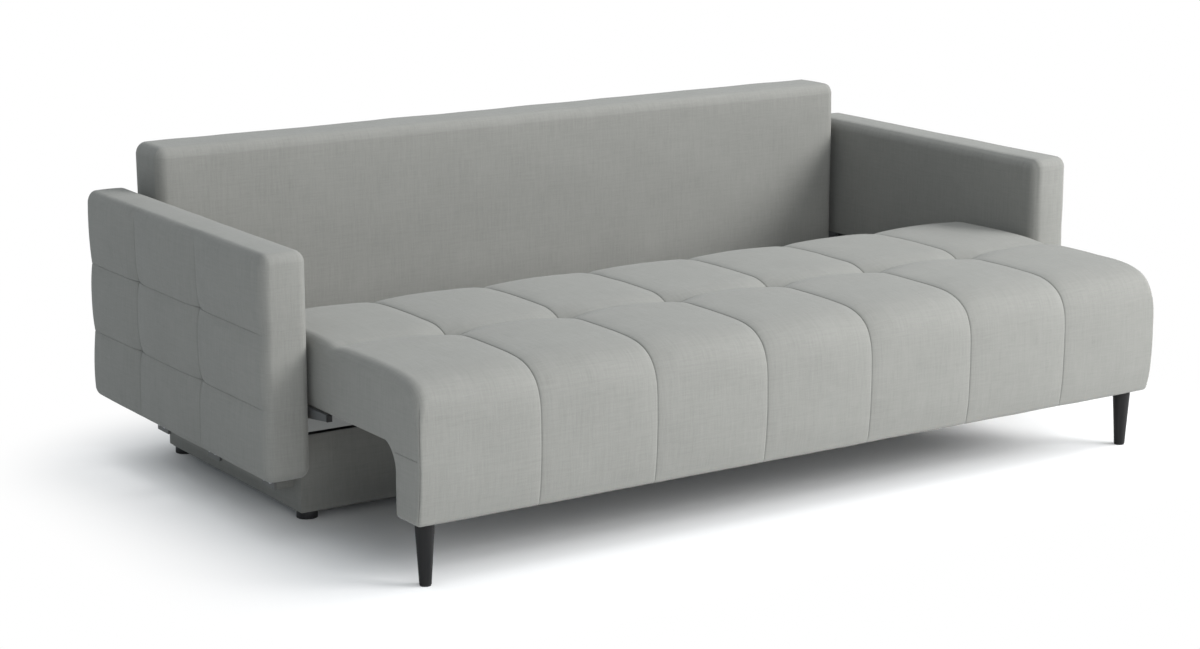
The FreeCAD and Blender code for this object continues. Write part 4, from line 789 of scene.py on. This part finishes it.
def rounded_box(name, lo, hi, r, rear, seams, shape, step=0.016):
    """Closed form with rounded edges, squarer at the rear. seams holds the seams' places along each
    axis, and shape(point, normal) gives the shift of each point."""
    axes = [axis_steps(lo[a], hi[a], r, rear if a == 1 else r, seams[a], step) for a in range(3)]
    deep = hi[1] - lo[1] > hi[0] - lo[0]
    verts, faces, uvs, index = [], [], [], {}

    def vertex(p):
        key = (round(p[0], 6), round(p[1], 6), round(p[2], 6))
        if key not in index:
            radius = Vector((r, rear if p[1] > (lo[1] + hi[1]) / 2 else r, r))
            core = Vector([min(max(p[a], lo[a] + radius[a]), hi[a] - radius[a]) for a in range(3)])
            way = Vector([(p[a] - core[a]) / radius[a] for a in range(3)])
            way.normalize()
            q = core + way * radius
            index[key] = len(verts)
            verts.append(tuple(q + shape(q, way)))
        return index[key]

    def cloth_place(p, axis, sign):
        if axis == 0:
            return p[1], p[2]
        if axis == 1:
            return (p[0] if sign < 0 else -p[0]), p[2]
        # the top carries on from the broad side
        return (p[1], hi[2] + hi[0] - p[0]) if deep else (p[0], hi[2] + p[1] - lo[1])

    for a in range(3):
        b, c = [k for k in range(3) if k != a]
        for end, sign in ((lo[a], -1), (hi[a], 1)):
            for i in range(len(axes[b]) - 1):
                for j in range(len(axes[c]) - 1):
                    quad = []
                    for bi, cj in ((i, j), (i + 1, j), (i + 1, j + 1), (i, j + 1)):
                        p = [0, 0, 0]
                        p[a], p[b], p[c] = end, axes[b][bi], axes[c][cj]
                        quad.append(p)
                    if (sign > 0) == (a == 1):
                        quad.reverse()
                    faces.append(tuple(vertex(p) for p in quad))
                    uvs += [cloth_place(p, a, sign) for p in quad]
    return mesh_object(name, verts, faces, uvs, FABRIC)


ARM_ROUND, ARM_ROUND_REAR = 0.026, 0.012
ARM_SEAMS_Y = (ARM_LO.y + 0.340, ARM_LO.y + 0.665)
ARM_SEAMS_Z = (0.305, 0.470)
QUILT_DEPTH = 0.0092                    # the seams lie this much lower than the middle of a square
PINCH_DEPTH, PINCH_REACH = 0.0085, 0.020
STITCH_WIDTH, STITCH_DEPTH, STITCH_AT_PINCH = 0.0013, 0.0010, 0.0022
FOLD_DEPTH, FOLD_REACH = 0.0012, 0.045
ARM_FRONT_SWELL, ARM_TOP_SWELL = 0.0030, 0.0022


def fullness(v, lines):
    """1 in the middle between two lines and 0 on them."""
    for a, b in zip(lines, lines[1:]):
        if a <= v <= b:
            return 1 - (1 - 2 * min(v - a, b - v) / (b - a)) ** 2.2
    return 0.0


def quilting(p):
    """How far the arm's outer face lies in at p."""
    y_lines = [ARM_LO.y - 0.05, *ARM_SEAMS_Y, ARM_HI.y + 0.05]
    z_lines = [ARM_LO.z - 0.03, *ARM_SEAMS_Z, ARM_HI.z + 0.03]
    dy = min(abs(p.y - s) for s in ARM_SEAMS_Y)
    dz = min(abs(p.z - s) for s in ARM_SEAMS_Z)
    r = math.hypot(dy, dz)
    near = math.exp(-r / PINCH_REACH)
    # the stitched lines stop short of the arm's edges
    fade_z = clip((ARM_HI.z - 0.020 - p.z) / 0.03) * clip((p.z - ARM_LO.z - 0.012) / 0.02)
    fade_y = clip((p.y - ARM_LO.y - 0.014) / 0.02)
    line = bell(dy, STITCH_WIDTH) * fade_z + bell(dz, STITCH_WIDTH) * fade_y
    star = 0.5 + 0.5 * math.cos(4 * math.atan2(p.z - 0.3, p.y))
    sink = QUILT_DEPTH * (1 - fullness(p.y, y_lines) * fullness(p.z, z_lines)) + PINCH_DEPTH * near
    sink += (STITCH_DEPTH + STITCH_AT_PINCH * near) * min(line, 1.2)
    return sink + FOLD_DEPTH * math.exp(-r / FOLD_REACH) * star


def arm_shape(side):
    def shape(p, nrm):
        out = nrm.x * side
        shift = Vector((0, 0, 0))
        if out > 0:
            shift.x -= side * quilting(p) * out ** 1.5
        hump = math.sin(math.pi * clip((p.x * side - ARM_IN) / (ARM_OUT - ARM_IN)))
        k = ARM_FRONT_SWELL * hump * -nrm.y if nrm.y < -0.2 else 0.0
        if nrm.z > 0.2:
            k += ARM_TOP_SWELL * hump * nrm.z
        k += wave(p.x, p.y, p.z + side, 0.10, 0.0010)
        if out < -0.5:
            # the inner face doesn't swell towards the seat
            k = min(k, 0.0) + wave(p.x, p.y, p.z, 0.2, 0.0003)
        return shift + nrm * k

    return shape


for side, word in ((1, "right"), (-1, "left")):
    lo = (ARM_IN if side > 0 else -ARM_OUT, ARM_LO.y, ARM_LO.z)
    hi = (ARM_OUT if side > 0 else -ARM_IN, ARM_HI.y, ARM_HI.z)
    arm = rounded_box(f"arm_cover_{word}", lo, hi, ARM_ROUND, ARM_ROUND_REAR,
                      ((), ARM_SEAMS_Y, ARM_SEAMS_Z), arm_shape(side))
    # room for the arm's frame, and for its inner panel, which shows below the padding
    p, q, r = side * (ARM_IN - 0.010), side * (ARM_IN + 0.006), side * (ARM_OUT - 0.040)
    frame_room = [(p, 0.120), (q, 0.120), (q, 0.150), (r, 0.150), (r, 0.622), (q, 0.622),
                  (q, 0.329), (p, 0.329)]
    hollow(arm, [(frame_room, ARM_LO.y + 0.020, ARM_HI.y - 0.005)])
    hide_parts(f"arm_pad_{word}")
    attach(arm, "base")


BACK_ROUND, BACK_ROUND_REAR = 0.027, 0.010
BACK_CROWN, BACK_TOP_CROWN = 0.0045, 0.0015
BACK_FRAME_HALF, PIVOT_HALF = 0.994, 1.030


def back_shape(p, nrm):
    k = wave(p.x, p.y, p.z, 0.16, 0.0016) + wave(p.x + 5, p.y, p.z, 0.07, 0.0005)
    if nrm.y < -0.2:
        u = (p.z - BACK_LO.z) / (BACK_HI.z - BACK_LO.z)
        w = (p.x - BACK_LO.x) / (BACK_HI.x - BACK_LO.x)
        full = (1 - abs(2 * u - 1) ** 3) * (1 - abs(2 * w - 1) ** 14)
        k += -BACK_CROWN * (1 - full) * -nrm.y
    if nrm.z > 0.2:
        depth = (p.y - BACK_LO.y) / (BACK_HI.y - BACK_LO.y)
        k += BACK_TOP_CROWN * math.sin(math.pi * depth) * nrm.z - 0.0005
    if nrm.y > 0.3:
        k = min(k, 0.0)                 # the rear lies against its own cover
    if abs(nrm.x) > 0.5:
        k = min(k, 0.0005)              # the ends clear the arms
    return nrm * k


back = rounded_box("back_cover", tuple(BACK_LO), tuple(BACK_HI), BACK_ROUND, BACK_ROUND_REAR,
                   ((), (), ()), back_shape, step=0.022)
# room for the back's frame, and for the pivot plates at its ends
hollow(back, [(block(-BACK_FRAME_HALF, BACK_FRAME_HALF, 0.144, 0.728), 0.606, 0.700),
              (block(0.990, PIVOT_HALF, 0.275, 0.370), 0.636, 0.700),
              (block(-PIVOT_HALF, -0.990, 0.275, 0.370), 0.636, 0.700)])
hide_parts("back_pad")
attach(back, "backrest")


# ------------------------------------------------------------------ black strip along the top of the box's front board
def black_edge_strip():
    """Half-round black strip along the top of the board, a little uneven."""
    half_width, height, stretches = 0.0085, 0.0018, 120
    x0, x1 = BOARD_LO.x + 0.004, BOARD_HI.x - 0.004
    middle, top = (BOARD_LO.y + BOARD_HI.y) / 2, BOARD_HI.z + 0.0002
    profile = [(middle + half_width * math.cos(a), top + height * math.sin(a))
               for a in np.linspace(0, math.pi, 9)]
    n, m = len(profile), stretches
    verts, faces, uvs = [], [], []
    for i in range(m + 1):
        x = x0 + (x1 - x0) * i / m
        verts += [(x, y, z + wave(x, y, 1, 0.03, 0.0002)) for y, z in profile]
    for i in range(m):
        for j in range(n):
            k = (j + 1) % n
            faces.append((i * n + j, i * n + k, (i + 1) * n + k, (i + 1) * n + j))
            uvs += [(i / m, j / n), (i / m, k / n), ((i + 1) / m, k / n), ((i + 1) / m, j / n)]
    faces += [tuple(range(n)), tuple(m * n + j for j in reversed(range(n)))]
    uvs += [(0, 0)] * (2 * n)
    return mesh_object("box_edge_strip", verts, faces, uvs, LINING)


board_edge_strip = black_edge_strip()
join_seams(board_edge_strip)
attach(board_edge_strip, "base")

# ------------------------------------------------------------------ floor, light, camera
FLOOR_HALF, FLOOR_TONE = 40, 0.88
PLAN_INSET = 0.25                       # the floor starts to whiten from a plan this much smaller
WHITEN_FROM, WHITEN_TO = 0.05, 0.62     # distances from that plan

floor_mesh = bpy.data.meshes.new("floor")
corners = [(x * FLOOR_HALF, y * FLOOR_HALF, 0) for x, y in ((-1, -1), (1, -1), (1, 1), (-1, 1))]
floor_mesh.from_pydata(corners, [], [(0, 1, 2, 3)])
floor = bpy.data.objects.new("floor", floor_mesh)
scene.collection.objects.link(floor)
mat, nt, shader = node_tree("studio_floor")
surface = shader.outputs[0].links[0].to_socket
shader.inputs["Base Color"].default_value = (FLOOR_TONE, FLOOR_TONE, FLOOR_TONE, 1)
shader.inputs["Roughness"].default_value = 1.0
shader.inputs["Specular IOR Level"].default_value = 0.0
# distance on the floor from the sofa's plan
inner_plan = ((cad_hi.x - cad_lo.x) / 2 - PLAN_INSET, (cad_hi.y - cad_lo.y) / 2 - PLAN_INSET, 0.0)
beyond = nt.nodes.new("ShaderNodeTexCoord").outputs["Object"]
for operation, value, result in (("ABSOLUTE", None, "Vector"), ("SUBTRACT", inner_plan, "Vector"),
                                 ("MAXIMUM", (0.0, 0.0, 0.0), "Vector"), ("LENGTH", None, "Value")):
    vm = nt.nodes.new("ShaderNodeVectorMath")
    vm.operation = operation
    nt.links.new(beyond, vm.inputs[0])
    if value is not None:
        vm.inputs[1].default_value = value
    beyond = vm.outputs[result]
fade = nt.nodes.new("ShaderNodeMapRange")
fade.interpolation_type = "SMOOTHSTEP"
fade.inputs["From Min"].default_value = WHITEN_FROM
fade.inputs["From Max"].default_value = WHITEN_TO
nt.links.new(beyond, fade.inputs["Value"])
# for the camera alone, the floor whitens with distance from the plan, up to the background's white far off;
# close in, this white is painted light that lifts the outer part of the sofa's floor shadow
seen = nt.nodes.new("ShaderNodeLightPath")
backdrop_and_painted_light = nt.nodes.new("ShaderNodeEmission")
backdrop_and_painted_light.inputs["Color"].default_value = (1, 1, 1, 1)
join = nt.nodes.new("ShaderNodeMixShader")
nt.links.new(math_node(nt, "MULTIPLY", fade.outputs[0], seen.outputs["Is Camera Ray"]), join.inputs[0])
nt.links.new(shader.outputs[0], join.inputs[1])
nt.links.new(backdrop_and_painted_light.outputs[0], join.inputs[2])
nt.links.new(join.outputs[0], surface)
floor_mesh.materials.append(mat)

# a soft surround that the camera sees as white
world = bpy.data.worlds.new("studio")
scene.world = world
world.use_nodes = True
wn = world.node_tree
wn.nodes.clear()
ambient, white = (wn.nodes.new("ShaderNodeBackground") for _ in range(2))
ambient.inputs["Color"].default_value = (0.923, 1.0, 1.06, 1)
ambient.inputs["Strength"].default_value = 0.550
white.inputs["Color"].default_value = (1, 1, 1, 1)
white.inputs["Strength"].default_value = 1.0
path = wn.nodes.new("ShaderNodeLightPath")
mixer = wn.nodes.new("ShaderNodeMixShader")
wn.links.new(path.outputs["Is Camera Ray"], mixer.inputs[0])
wn.links.new(ambient.outputs[0], mixer.inputs[1])
wn.links.new(white.outputs[0], mixer.inputs[2])
wn.links.new(mixer.outputs[0], wn.nodes.new("ShaderNodeOutputWorld").inputs[0])

# soft boxes: place, size and watts, all aimed at the sofa's middle
AIM = Vector((0.0, 0.0, 0.3))
LAMPS = {
    "key_low": ((5.62, -5.62, 4.53), (3.5, 3.5), 609),
    "key_side": ((6.48, -2.36, 6.09), (3.5, 3.5), 397),
    "front": ((0.0, -8.46, 3.38), (8.0, 4.0), 326),
    "overhead": ((0.0, 0.0, 6.0), (6.0, 6.0), 76),
}
for name, (place, size, watts) in LAMPS.items():
    data = bpy.data.lights.new(name, "AREA")
    data.shape = "RECTANGLE"
    data.size, data.size_y = size
    data.energy = watts
    lamp = bpy.data.objects.new(name, data)
    scene.collection.objects.link(lamp)
    lamp.location = place
    lamp.rotation_euler = (AIM - Vector(place)).to_track_quat("-Z", "Y").to_euler()

# camera at the photo's viewing angle
cam_data = bpy.data.cameras.new("camera")
cam_data.sensor_fit = "HORIZONTAL"
cam_data.sensor_width = 36.0
cam_data.lens = 80.07
cam_data.clip_start, cam_data.clip_end = 0.05, 200.0
camera = bpy.data.objects.new("camera", cam_data)
scene.collection.objects.link(camera)
camera.location = (-3.5813, -5.2144, 1.7735)
camera.rotation_euler = (math.radians(76.928), 0.0, math.radians(-33.488))
scene.camera = camera
